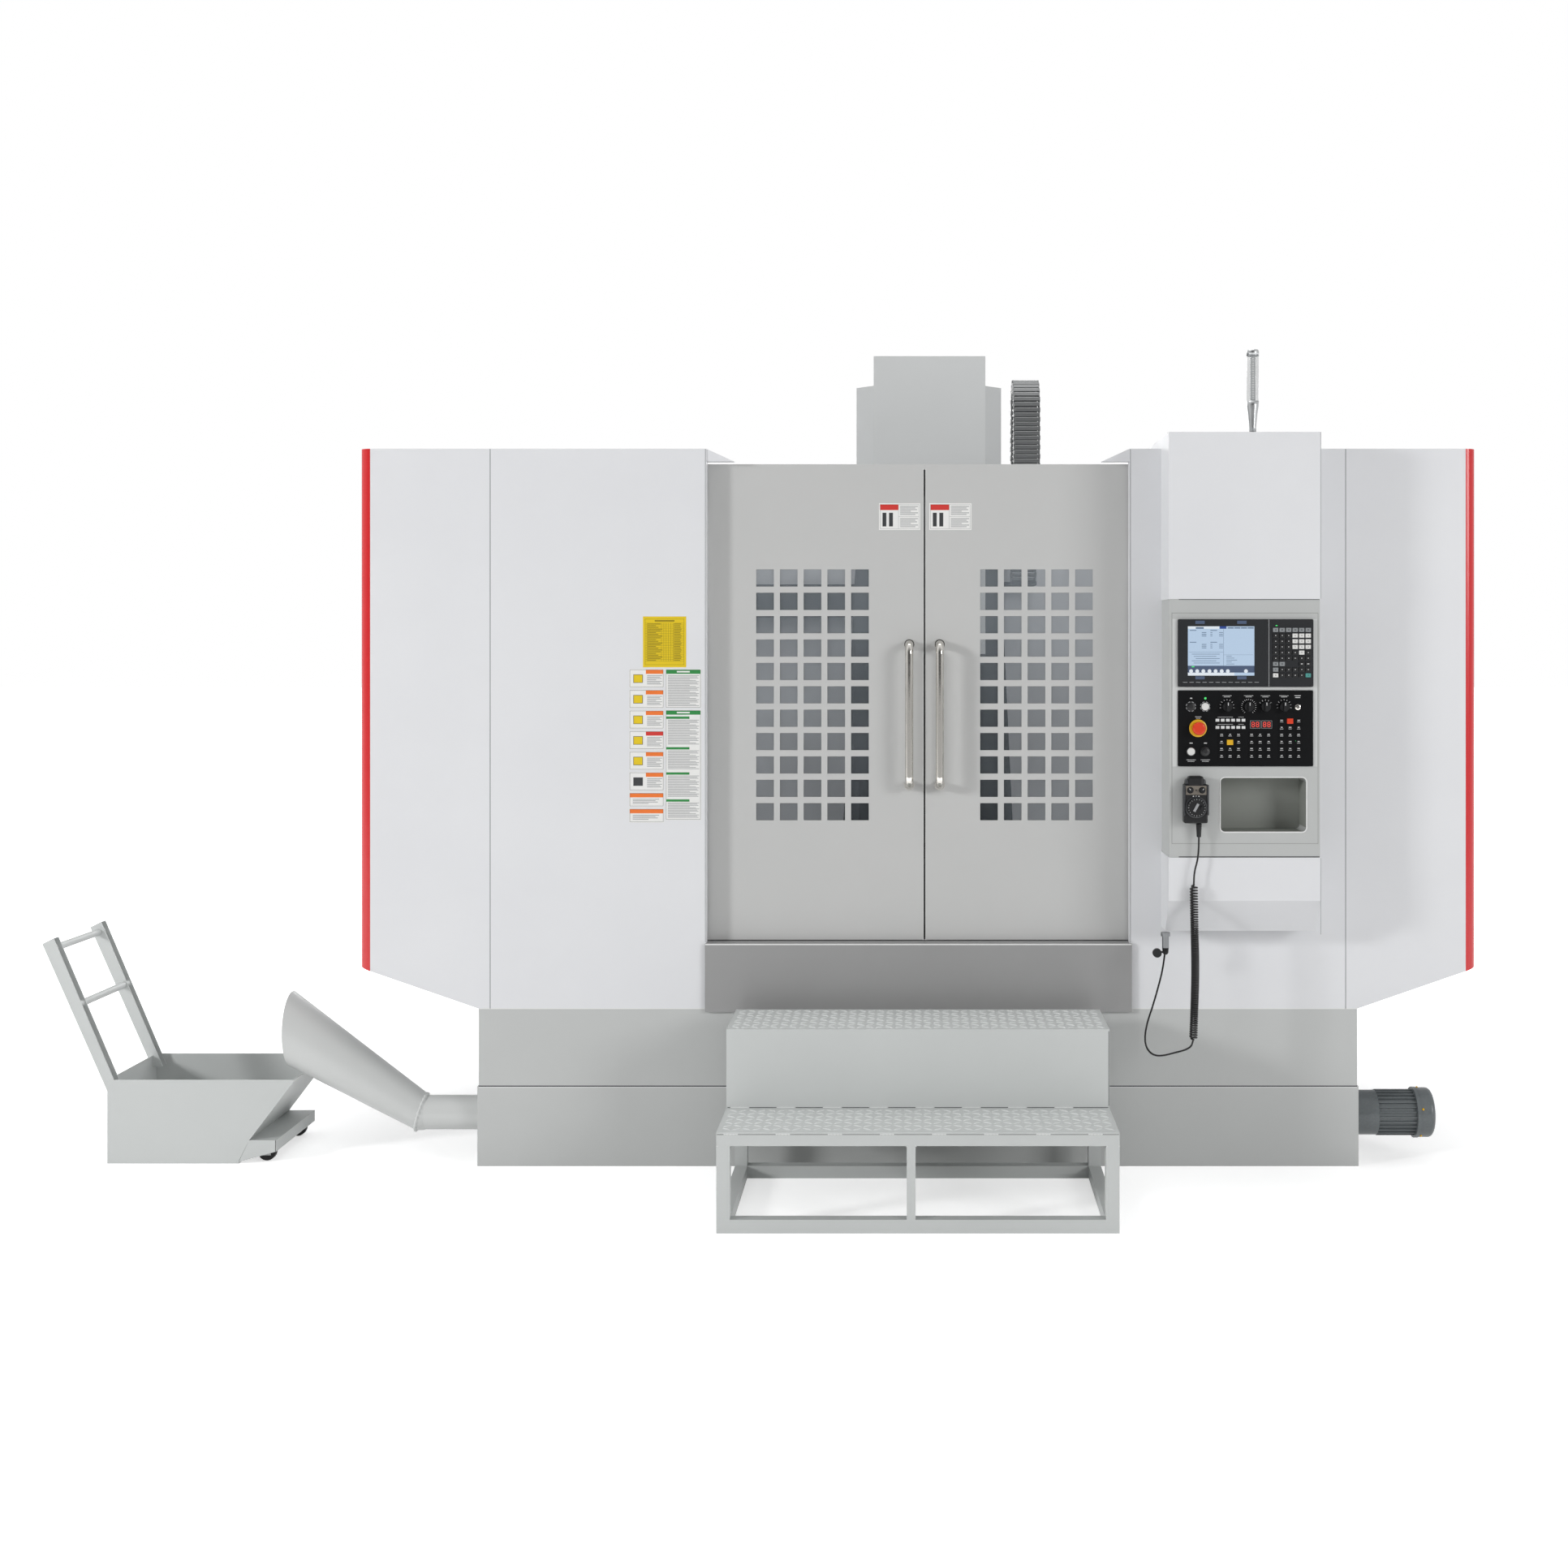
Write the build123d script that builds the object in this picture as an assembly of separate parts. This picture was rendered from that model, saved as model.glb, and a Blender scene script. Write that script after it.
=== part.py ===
from build123d import *
import math
import os

# Vertical machining center with enclosure, chip screw, chip cart and step.
# Millimetres, +Z up. Origin on the floor, on the enclosure's centre line, under the spindle's Y plane.
# -Y is the operator's side.

# General sheet metal and fits
overrun = 20.0
sheet = 3.0
base_sheet = 4.0
run_gap = 0.3
slide_gap = 5.0

# Enclosure
front_reach = 900.0
body_half = 1863.0
seam_half = 1425.0
door_edge = 705.0
panel_top = 2390.0
panel_return = 40.0
rear_reach = 1000.0
trim_radius = 38.0
wing_rise = 138.0
gusset_long = 92.0

# Base: coolant tank below, chip pan above
tank_half = 1468.0
tank_height = 266.0
tank_depth = 300.0
pan_inset = 5.0
pan_top = 524.0
pan_slot_inset = 60.0
pan_slot_depth = 240.0

# Bed, pads and ways
spindle_x = 43.0
pad_radius = 60.0
pad_thick = 30.0
pad_height = 60.0
pad_screw_radius = 20.0
pad_reach_x = 380.0
pad_front = 480.0
pad_rear = 1250.0
bed_half = 480.0
bed_front = 590.0
bed_nose = 700.0
bed_nose_low = 300.0
bed_nose_high = 380.0
way_height = 520.0
column_seat = 600.0
bed_back = 1420.0
bed_pocket_deep = 40.0
bed_pocket_wide = 420.0
bed_pocket_high = 260.0
bed_pocket_gap = 80.0
bed_pockets = 3
rail_wide = 55.0
rail_tall = 50.0
y_rail_x = 330.0
screw_radius = 20.0
screw_mount = 40.0

# Saddle and table
saddle_half = 350.0
saddle_core_half = 520.0
saddle_half_x = 950.0
saddle_low = 572.0
saddle_wing_low = 630.0
saddle_top = 700.0
block_wide = 100.0
block_long = 160.0
block_drop = 40.0
y_block_inset = 20.0
x_rail_y = 230.0
x_rail_wide = 45.0
x_rail_tall = 45.0
x_screw_radius = 16.0
x_screw_height = 722.0
x_block_reach = 170.0
nut_half = 55.0
nut_long = 140.0
table_half_x = 700.0
table_half_y = 325.0
table_low = 790.0
table_top = 880.0
slot_count = 5
slot_pitch = 110.0
slot_wide = 18.0
slot_deep = 22.0
slot_tee_wide = 32.0
slot_tee_tall = 14.0

# Column and Z axis
column_front = 860.0
column_base_half = 380.0
column_top_half = 290.0
column_base_back = 1400.0
column_top_back = 1250.0
column_top = 2500.0
channel_half = 120.0
channel_deep = 140.0
z_rail_x = 230.0
z_rail_reach = 60.0
z_rail_low = 800.0
z_rail_high = 2420.0
z_screw_y = 825.0
z_bearing_low = 900.0
z_bearing_tall = 60.0
arm_height = 1850.0
arm_tall = 140.0
arm_front = 870.0
arm_back = 985.0
arm_reach = 1420.0

# Head
head_back = 790.0
head_plate_half = 300.0
head_plate_thick = 80.0
head_plate_low = 1750.0
head_plate_high = 2330.0
head_nose = 190.0
head_low = 1660.0
head_high = 2200.0
head_throat_low = 1800.0
head_throat_y = 250.0
spindle_nose = 1560.0
spindle_radius = 75.0
spindle_flange_radius = 95.0
spindle_flange_tall = 40.0
spindle_long = 420.0
taper_radius = 22.225
taper_end_radius = 12.7
taper_deep = 65.4
cover_half = 207.0
cover_front = 205.0
cover_back = 260.0
cover_low = 1700.0
cover_top = 2804.0
cowl_half = 285.0
cowl_back = 640.0
cowl_low = 2360.0
cowl_top = 2745.0
cowl_chamfer = 100.0

# Z way covers
apron_half = 310.0
apron_face = 700.0
apron_low = 1160.0
skirt_half = 290.0
skirt_face = 716.0
skirt_low = 610.0
skirt_top = 1180.0

# Servo motors
motor_size = 120.0
motor_long = 115.0
motor_corner = 18.0
motor_tail_long = 45.0
motor_tail_size = 80.0

# Tool magazine
carousel_park_x = -1100.0
carousel_pockets = 24
pocket_ring = 400.0
carousel_radius = 430.0
carousel_top = 1545.0
carousel_thick = 30.0
pocket_radius = 31.0
drum_radius = 270.0
drum_top = 1640.0
carousel_bore = 60.0
hub_radius = 90.0
canopy_radius = 285.0
canopy_thick = 14.0
carriage_half = 60.0
carriage_tall = 80.0
boom_half = 60.0

# Doors
door_split = 22.0
door_width = 740.0
door_low = 746.0
door_top = 2343.0
door_face = 850.0
door_thick = 40.0
window_cols = 5
window_rows = 11
hole_wide = 59.5
hole_tall = 58.0
hole_pitch_x = 79.7
hole_pitch_z = 78.5
window_from_split = 187.0
window_low = 1147.0
pane_thick = 5.0
pane_margin = 25.0
handle_from_split = 51.0
handle_radius = 13.5
handle_stand = 62.0
handle_low = 1266.0
handle_high = 1738.0
handle_bend = 30.0
handle_foot_radius = 17.0
handle_foot_long = 10.0
header_low = 2240.0
header_top = 2330.0
header_thick = 40.0
header_bracket = 30.0

# Sill panel under the doors
sill_left = 708.0
sill_right = 711.0
sill_low = 516.0
sill_top = 743.0
sill_proud = 14.0
sill_shelf = 790.0

# Electrical cabinet on the back
cabinet_left = 1500.0
cabinet_right = 450.0
cabinet_deep = 380.0
cabinet_low = 700.0
cabinet_top = 2250.0
cabinet_sheet = 3.0
cabinet_door_thick = 25.0
cabinet_vent_count = 6
cabinet_vent_wide = 300.0
cabinet_vent_tall = 12.0
cabinet_vent_pitch = 36.0
cabinet_vent_low = 1950.0
hinge_count = 3
hinge_inset = 150.0
hinge_radius = 8.0
hinge_knuckle = 36.0
hinge_leaf = 60.0

# Operator station
station_left = 810.0
station_right = 1302.0
station_reach = 190.0
station_top_z = 2425.0
station_top_back = 570.0
station_hood_low = 1885.0
box_inset = 3.0
box_recess = 4.0
station_foot_top = 1050.0
station_foot_front_low = 910.0
station_foot_low = 801.0
station_foot_back_step = 80.0
locker_left = 978.0
locker_right = 1255.0
locker_low = 1133.0
locker_top = 1308.0
locker_deep = 110.0
locker_corner = 14.0
unit_left = 840.0
unit_right = 1276.0
unit_low = 1602.0
unit_top = 1820.0
unit_proud = 10.0
unit_corner = 4.0
screen_left = 871.0
screen_right = 1086.0
screen_low = 1638.0
screen_top = 1797.0
screen_deep = 4.0
key_first_x = 1153.8
key_first_z = 1639.0
key_cols = 6
key_rows = 9
key_gap_row = 2
key_gap_cols = (2, 3)
key_wide = 16.5
key_tall = 12.5
key_pitch_x = 21.0
key_pitch_z = 18.3
key_proud = 3.0
plate_low = 1345.0
plate_top = 1590.0
plate_thick = 6.0
pad_first_x = 980.0
pad_first_z = 1377.0
pad_group_rows = (4, 4, 6)
pad_group_cols = 3
pad_group_pitch = 97.0
pad_key_wide = 19.0
pad_key_tall = 15.5
pad_key_pitch_x = 27.5
pad_key_pitch_z = 22.8
pad_key_proud = 1.5
stop_x = 904.0
stop_z = 1468.0
stop_radius = 21.0
stop_neck_radius = 14.0
stop_reach = 34.0
stop_head = 18.0
stop_travel = 7.0
stop_round = 6.0
stop_ring_radius = 28.0
stop_ring_thick = 3.0
knob_z = 1538.0
knob_radius = 15.0
knob_reach = 16.0
knob_bar_wide = 9.0
knob_bar_reach = 9.0
knob_shaft_radius = 5.0
mode_knob_x = 998.0
feed_knob_x = 1068.0
rapid_knob_x = 1122.0
spindle_knob_x = 1182.0
push_radius = 11.0
push_reach = 8.0
push_left_x = 881.0
push_right_x = 927.0
push_low_z = 1393.0
pendant_left = 852.0
pendant_right = 934.0
pendant_low = 1164.0
pendant_top = 1316.0
pendant_thick = 42.0
pendant_corner = 12.0
pendant_gland_radius = 9.0
pendant_gland_long = 46.0
pendant_gland_x = 904.0
dial_z = 1216.0
dial_radius = 30.0
dial_thick = 14.0
dial_grip_x_share = 0.55
dial_grip_radius = 5.0
dial_grip_long = 10.0
selector_z = 1284.0
selector_radius = 8.0
selector_reach = 10.0
selector_offset = 20.0
lamp_x = 1128.0
lamp_back_share = 0.5
lamp_foot_radius = 24.0
lamp_foot_tall = 20.0
lamp_neck_radius = 11.0
lamp_neck_tall = 60.0
lamp_lens_radius = 21.0
lamp_lens_low = 110.0
lamp_tall = 306.0
lamp_cap_tall = 14.0

# Pendant cord: its route points are in the route function
cord_radius = 3.0
cord_bend_share = 0.45
coil_radius = 13.5
plug_radius = 11.0
plug_long = 50.0
plug_x = 806.0
plug_collar_radius = 15.0
plug_collar_long = 12.0
cord_y = -1112.0
plug_y = -1040.0

# Cable chain of the Z axis
chain_x = 447.0
chain_wide = 110.0
chain_thick = 56.0
chain_bend = 118.0
chain_front = 560.0
chain_foot = 2230.0
chain_arch = 2690.0
chain_tail = 2000.0
chain_links_front = 10
chain_links_arch = 9
chain_plate = 8.0
chain_bar_share = 0.55
chain_overlap = 3.0
chain_bracket = 16.0

# Chip screw, outlet pipe and gear motor
auger_y = -800.0
auger_height = 155.0
auger_shaft_radius = 20.0
auger_radius = 48.0
auger_pitch = 190.0
auger_turns = 13
flight_thick = 7.0
pipe_radius = 57.0
pipe_wall = 4.0
pipe_run = 212.0
chute_reach = 438.0
chute_past_share = 1.4
chute_cut_share = 4.0
chute_rise = 272.0
chute_run = 431.0
chute_start_radius = 60.0
chute_end_radius = 105.0
gear_radius = 74.0
gear_long = 78.0
motor_radius = 76.0
motor_body_long = 126.0
fin_count = 28
fin_tall = 7.0
fin_thick = 4.0
cowl_radius = 82.0
cowl_long = 62.0
cowl_band_long = 12.0
cowl_band_proud = 2.0
cowl_round = 16.0
terminal_size = 90.0
terminal_tall = 45.0

# Chip cart
cart_lap = 32.0
cart_long = 628.0
cart_front = 870.0
cart_back = 470.0
cart_top = 280.0
cart_floor_long = 440.0
cart_floor_low = 8.0
cart_heel_long = 475.0
cart_heel_z = 78.0
cart_foot_long = 565.0
cart_foot_lip = 26.0
cart_sheet = 3.0
upright_size = 38.0
upright_wall = 4.0
upright_lean = 218.0
upright_top_z = 735.0
crossbar_radius = 12.0
crossbar_mid_share = 0.55
crossbar_top_share = 0.96
wheel_radius = 30.0
wheel_wide = 24.0
wheel_back = 106.0
wheel_inset = 45.0
axle_radius = 5.0
fork_thick = 4.0
fork_gap = 2.0

# Operator step
step_half = 596.0
step_front = 1602.0
step_riser = 1311.0
step_back = 1000.0
step_low_top = 298.0
step_high_top = 542.0
step_bar = 40.0
step_post_left = 20.0
step_post_half = 13.0
step_plate = 6.0
step_skirt = 3.0

# Places that follow from the values above
front = -front_reach
seat_x = spindle_x
pan_low = tank_height + run_gap
pan_half = tank_half - pan_inset
wing_slope = wing_rise / (body_half - pan_half)
pipe_elbow = tank_half + pipe_run
chute_end_x = pipe_elbow + chute_reach
cart_right = chute_end_x - cart_lap
cart_left = cart_right + cart_long
cart_floor_right = cart_left - cart_floor_long
cart_heel = cart_left - cart_heel_long
cart_foot_right = cart_left - cart_foot_long
upright_top_x = cart_left + upright_lean
wheel_x = cart_right + wheel_back
saddle_rail_top = way_height + rail_tall
x_rail_top = saddle_top + x_rail_tall
y_screw_height = way_height + rail_tall / 2
z_rail_front = column_front - z_rail_reach
station_front = front - station_reach
box_front = station_front + box_recess
door_front = -door_face
door_back = door_front + door_thick
head_half = cover_half - sheet - run_gap


def block(xs, ys, zs):
    size = (xs[1] - xs[0], ys[1] - ys[0], zs[1] - zs[0])
    return Pos(xs[0], ys[0], zs[0]) * Box(*size, align=Align.MIN)


def prism_x(points, x0, x1):
    return extrude(Plane.YZ.offset(x0) * Polygon(*points, align=None), x1 - x0, dir=(1, 0, 0))


def prism_y(points, y0, y1):
    return extrude(Plane.XZ.offset(-y0) * Polygon(*points, align=None), y1 - y0, dir=(0, 1, 0))


def prism_z(points, z0, z1):
    return extrude(Plane.XY.offset(z0) * Polygon(*points, align=None), z1 - z0, dir=(0, 0, 1))


def rod_x(x0, x1, y, z, radius):
    return extrude(Plane.YZ.offset(x0) * Pos(y, z) * Circle(radius), x1 - x0)


def rod_y(y0, y1, x, z, radius):
    return extrude(Plane.XZ.offset(-y0) * Pos(x, z) * Circle(radius), -(y1 - y0))


def rod_z(z0, z1, x, y, radius):
    return extrude(Plane.XY.offset(z0) * Pos(x, y) * Circle(radius), z1 - z0)


def around(middle, half):
    return (middle - half, middle + half)


def mirrored(solid):
    return mirror(solid, about=Plane.YZ)


# Machine core


def make_levelling_pads():
    places = [(0, 0)]
    for side in (-1, 1):
        for row in (-pad_front, 0, pad_rear):
            places.append((seat_x + side * pad_reach_x, row))
    pads = []
    for x, y in places:
        disc = rod_z(0, pad_thick, x, y, pad_radius)
        pads.append(disc + rod_z(pad_thick, pad_height, x, y, pad_screw_radius))
    return Compound(pads)


def make_bed():
    outline = [
        (-bed_front, pad_height),
        (-bed_front, bed_nose_low),
        (-bed_nose, bed_nose_high),
        (-bed_nose, way_height),
        (column_front - channel_deep, way_height),
        (column_front - channel_deep, column_seat),
        (bed_back, column_seat),
        (bed_back, pad_height),
    ]
    bed = prism_x(outline, seat_x - bed_half, seat_x + bed_half)
    pocket_low = pad_height + bed_pocket_gap
    for side in (-1, 1):
        wall = seat_x + side * bed_half
        for place in range(bed_pockets):
            start = -bed_front + bed_pocket_gap + place * (bed_pocket_wide + bed_pocket_gap)
            reach = (start, start + bed_pocket_wide)
            bed -= block(around(wall, bed_pocket_deep), reach, (pocket_low, pocket_low + bed_pocket_high))
    screw_house = block(
        around(seat_x, nut_half),
        (-bed_nose, -bed_nose + screw_mount),
        (way_height, saddle_rail_top),
    )
    tail_house = Pos(0, column_front - channel_deep + bed_nose - screw_mount, 0) * screw_house
    bed += [screw_house, tail_house]
    screw_hole = rod_y(-bed_nose - overrun, column_front, seat_x, y_screw_height, screw_radius + run_gap)
    return bed - screw_hole


def make_guide_rails():
    rails = []
    for side in (-1, 1):
        y_rail = block(
            around(seat_x + side * y_rail_x, rail_wide / 2),
            (-bed_nose, column_front - channel_deep),
            (way_height, saddle_rail_top),
        )
        z_rail = block(
            around(seat_x + side * z_rail_x, rail_wide / 2),
            (z_rail_front, column_front),
            (z_rail_low, z_rail_high),
        )
        rails += [y_rail, z_rail]
    return Compound(rails)


def make_column():
    foot = Pos(seat_x, (column_front + column_base_back) / 2, column_seat) * Rectangle(
        2 * column_base_half, column_base_back - column_front
    )
    head = Pos(seat_x, (column_front + column_top_back) / 2, column_top) * Rectangle(
        2 * column_top_half, column_top_back - column_front
    )
    column = loft([foot, head])
    channel = block(
        around(seat_x, channel_half),
        (column_front - overrun, column_front + channel_deep),
        (column_seat, column_top + overrun),
    )
    column -= channel
    for low in (z_bearing_low, column_top - z_bearing_tall):
        column += block(
            around(seat_x, channel_half),
            (column_front - z_rail_reach, column_front + channel_deep),
            (low, low + z_bearing_tall),
        )
    column -= rod_z(z_bearing_low - overrun, column_top + overrun, seat_x, z_screw_y, screw_radius + run_gap)
    arm_z = (arm_height, arm_height + arm_tall)
    arm = block((-arm_reach, seat_x - channel_half), (arm_front, arm_back), arm_z)
    tail = block(
        (seat_x + channel_half, chain_x + chain_wide / 2),
        (column_front + slide_gap, column_front + channel_deep),
        (chain_tail - chain_bracket, chain_tail),
    )
    hook = block(
        around(chain_x, chain_wide / 2),
        (chain_front + 2 * chain_bend - chain_thick / 2, column_front + channel_deep),
        (chain_tail - chain_bracket, chain_tail),
    )
    return column + [arm, tail, hook]


def rail_block(x, y, drop_from, drop_to, rail_top, wide):
    body = block(around(x, block_wide / 2), around(y, block_long / 2), (drop_from, drop_to))
    slot = block(
        around(x, wide / 2 + run_gap),
        around(y, block_long),
        (drop_from - overrun, rail_top + run_gap),
    )
    return body - slot


def make_saddle():
    outline = [
        (seat_x - saddle_core_half, saddle_low),
        (seat_x + saddle_core_half, saddle_low),
        (seat_x + saddle_core_half, saddle_wing_low),
        (seat_x + saddle_half_x, saddle_wing_low),
        (seat_x + saddle_half_x, saddle_top),
        (seat_x - saddle_half_x, saddle_top),
        (seat_x - saddle_half_x, saddle_wing_low),
        (seat_x - saddle_core_half, saddle_wing_low),
    ]
    saddle = prism_y(outline, -saddle_half, saddle_half)
    block_y = saddle_half - y_block_inset - block_long / 2
    for side in (-1, 1):
        for end in (-1, 1):
            saddle += rail_block(
                seat_x + side * y_rail_x,
                end * block_y,
                saddle_low - block_drop,
                saddle_low,
                saddle_rail_top,
                rail_wide,
            )
        house_x = seat_x + side * (saddle_half_x - screw_mount / 2)
        saddle += block(
            around(house_x, screw_mount / 2),
            around(0, nut_half),
            (saddle_top, x_screw_height + x_screw_radius + slide_gap),
        )
    saddle += block(
        around(seat_x, nut_half),
        around(0, nut_long / 2),
        (saddle_low - block_drop, saddle_low),
    )
    saddle -= rod_y(-nut_long, nut_long, seat_x, y_screw_height, screw_radius + run_gap)
    reach = around(seat_x, saddle_half_x + overrun)
    return saddle - rod_x(*reach, 0, x_screw_height, x_screw_radius + run_gap)


def make_saddle_rails():
    rails = []
    for side in (-1, 1):
        rails.append(
            block(
                around(seat_x, saddle_half_x),
                around(side * x_rail_y, x_rail_wide / 2),
                (saddle_top, x_rail_top),
            )
        )
    return Compound(rails)


def make_table():
    table = block(around(seat_x, table_half_x), around(0, table_half_y), (table_low, table_top))
    reach = around(seat_x, table_half_x + overrun)
    for place in range(slot_count):
        y = (place - (slot_count - 1) / 2) * slot_pitch
        tee_low = table_top - slot_deep - slot_tee_tall
        table -= block(reach, around(y, slot_wide / 2), (table_top - slot_deep, table_top + overrun))
        table -= block(reach, around(y, slot_tee_wide / 2), (tee_low, table_top - slot_deep))
    for side in (-1, 1):
        for end in (-1, 1):
            table += Rot(0, 0, 90) * rail_block(
                side * x_rail_y,
                -seat_x - end * x_block_reach,
                saddle_top + slide_gap,
                table_low,
                x_rail_top,
                x_rail_wide,
            )
    table += block(
        around(seat_x, nut_long / 2),
        around(0, nut_half),
        (x_screw_height - x_screw_radius, table_low),
    )
    return table - rod_x(*around(seat_x, nut_long), 0, x_screw_height, x_screw_radius + run_gap)


def make_headstock():
    plate = block(
        around(seat_x, head_plate_half),
        (head_back - head_plate_thick, head_back),
        (head_plate_low, head_plate_high),
    )
    outline = [
        (-head_nose, head_low),
        (head_throat_y, head_low),
        (head_back - head_plate_thick, head_throat_low),
        (head_back - head_plate_thick, head_plate_high),
        (head_throat_y, head_high),
        (-head_nose, head_high),
    ]
    head = prism_x(outline, seat_x - head_half, seat_x + head_half) + plate
    for side in (-1, 1):
        for z in (head_plate_low + block_long / 2, head_plate_high - block_long / 2):
            body = block(
                around(seat_x + side * z_rail_x, block_wide / 2),
                (head_back, column_front - slide_gap),
                around(z, block_long / 2),
            )
            slot = block(
                around(seat_x + side * z_rail_x, rail_wide / 2 + run_gap),
                (z_rail_front - run_gap, column_front),
                around(z, block_long),
            )
            head += body - slot
    nut_z = (head_plate_low + head_plate_high) / 2
    head += block(
        around(seat_x, nut_half), (head_back, z_screw_y + nut_half), around(nut_z, nut_long / 2)
    )
    head -= rod_z(head_plate_low, head_plate_high, seat_x, z_screw_y, screw_radius + run_gap)
    bore_z = (head_low - overrun, spindle_nose + spindle_long + overrun)
    head -= rod_z(*bore_z, seat_x, 0, spindle_radius + run_gap)
    bracket = block(
        (seat_x + head_half - overrun, chain_x + chain_wide / 2),
        around(chain_front, chain_thick / 2),
        (chain_foot - chain_bracket, chain_foot),
    )
    return head + bracket


def make_head_cover():
    def shell_box(half, y0, y1, z0, z1, chamfer):
        wide = around(seat_x, half)
        points = [
            (wide[0] + chamfer, y0),
            (wide[1] - chamfer, y0),
            (wide[1], y0 + chamfer),
            (wide[1], y1),
            (wide[0], y1),
            (wide[0], y0 + chamfer),
        ]
        if not chamfer:
            points = [(wide[0], y0), (wide[1], y0), (wide[1], y1), (wide[0], y1)]
        return prism_z(points, z0, z1)

    outer = shell_box(cover_half, -cover_front, cover_back, cover_low, cover_top, 0)
    inner = shell_box(
        cover_half - sheet, sheet - cover_front, cover_back + overrun, cover_low - overrun, cover_top - sheet, 0
    )
    cowl_start = cover_back - cowl_chamfer
    rear = shell_box(cowl_half, cowl_start, cowl_back, cowl_low, cowl_top, cowl_half - cover_half)
    rear_inner = shell_box(
        cowl_half - sheet,
        cowl_start + sheet,
        cowl_back - sheet,
        cowl_low - overrun,
        cowl_top - sheet,
        cowl_half - cover_half,
    )
    return (outer - inner) + (rear - rear_inner) - inner


def make_spindle():
    body = rod_z(spindle_nose, spindle_nose + spindle_long, seat_x, 0, spindle_radius)
    flange_top = head_low - run_gap
    body += rod_z(flange_top - spindle_flange_tall, flange_top, seat_x, 0, spindle_flange_radius)
    taper = Cone(taper_radius, taper_end_radius, taper_deep, align=(Align.CENTER, Align.CENTER, Align.MIN))
    return body - Pos(seat_x, 0, spindle_nose) * taper


def make_ballscrews():
    y_screw = rod_y(-bed_nose, column_front - channel_deep, seat_x, y_screw_height, screw_radius)
    x_screw = rod_x(*around(seat_x, saddle_half_x), 0, x_screw_height, x_screw_radius)
    z_screw = rod_z(z_bearing_low, column_top, seat_x, z_screw_y, screw_radius)
    return x_screw, y_screw, z_screw


def servo(plane):
    body = extrude(plane * RectangleRounded(motor_size, motor_size, motor_corner), motor_long)
    tail_plane = plane.offset(motor_long)
    tail = RectangleRounded(motor_tail_size, motor_tail_size, motor_corner)
    return body + extrude(tail_plane * tail, motor_tail_long)


def make_servos():
    x_servo = servo(Plane((seat_x + saddle_half_x, 0, x_screw_height), z_dir=(1, 0, 0)))
    y_servo = servo(Plane((seat_x, -bed_nose, y_screw_height), z_dir=(0, -1, 0)))
    z_servo = servo(Plane((seat_x, z_screw_y, column_top), z_dir=(0, 0, 1)))
    return x_servo, Compound([y_servo, z_servo])


def make_way_covers():
    def channel(half, face, low, top, back):
        outer = block(around(seat_x, half), (face, back), (low, top))
        zs = (low - overrun, top + overrun)
        inner = block(around(seat_x, half - sheet), (face + sheet, back + overrun), zs)
        return outer - inner

    upper = channel(apron_half, apron_face, apron_low, head_plate_low, head_back)
    lower = channel(skirt_half, skirt_face, skirt_low, skirt_top, column_front)
    upper += block(
        around(seat_x, apron_half), (apron_face, head_back), (head_plate_low - sheet, head_plate_low)
    )
    return lower, upper


def make_magazine():
    boom_low = arm_height + arm_tall
    x = carousel_park_x
    carriage = block(around(x, carriage_half), (arm_front, arm_back), (boom_low, boom_low + carriage_tall))
    boom = block(around(x, boom_half), (0, arm_front), (boom_low, boom_low + carriage_tall))
    hub = rod_z(drum_top, boom_low + carriage_tall, x, 0, hub_radius)
    canopy = rod_z(drum_top, drum_top + canopy_thick, x, 0, canopy_radius)
    spigot = rod_z(carousel_top - carousel_thick, drum_top + canopy_thick, x, 0, carousel_bore - run_gap)
    drum = rod_z(carousel_top + run_gap, drum_top, x, 0, drum_radius)
    slide = carriage + [boom, hub, canopy, spigot, drum]
    carousel = rod_z(carousel_top - carousel_thick, carousel_top, x, 0, carousel_radius)
    for place in range(carousel_pockets):
        turn = 2 * math.pi * place / carousel_pockets
        middle = (x + pocket_ring * math.cos(turn), pocket_ring * math.sin(turn))
        carousel -= rod_z(carousel_top - carousel_thick, carousel_top, *middle, pocket_radius)
    carousel -= rod_z(carousel_top - carousel_thick, carousel_top, x, 0, carousel_bore)
    return slide, carousel


# Enclosure


def make_coolant_tank():
    ys = (front, front + tank_depth)
    outer = block((-tank_half, tank_half), ys, (0, tank_height))
    inner = block(
        (base_sheet - tank_half, tank_half - base_sheet),
        (ys[0] + base_sheet, ys[1] - base_sheet),
        (base_sheet, tank_height + overrun),
    )
    pipe_x = (-tank_half - overrun, -tank_half + overrun)
    pipe_hole = rod_x(*pipe_x, auger_y, auger_height, pipe_radius + run_gap)
    shaft_x = (tank_half - overrun, tank_half + overrun)
    shaft_hole = rod_x(*shaft_x, auger_y, auger_height, auger_shaft_radius + run_gap)
    return outer - inner - pipe_hole - shaft_hole


def make_chip_pan():
    ys = (front, rear_reach)
    outer = block((-pan_half, pan_half), ys, (pan_low, pan_top))
    inner = block(
        (base_sheet - pan_half, pan_half - base_sheet),
        (ys[0] + base_sheet, ys[1] - base_sheet),
        (pan_low + base_sheet, pan_top + overrun),
    )
    slot_x = pan_half - pan_slot_inset
    slot_y = (front + pan_slot_inset / 2, front + pan_slot_inset / 2 + pan_slot_depth)
    slot = block((-slot_x, slot_x), slot_y, (pan_low - overrun, pan_low + 2 * base_sheet))
    bed_gap = block(
        around(seat_x, bed_half + run_gap),
        (-bed_front - run_gap, rear_reach + overrun),
        (pan_low - overrun, pan_top + overrun),
    )
    return outer - inner - slot - bed_gap


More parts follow.
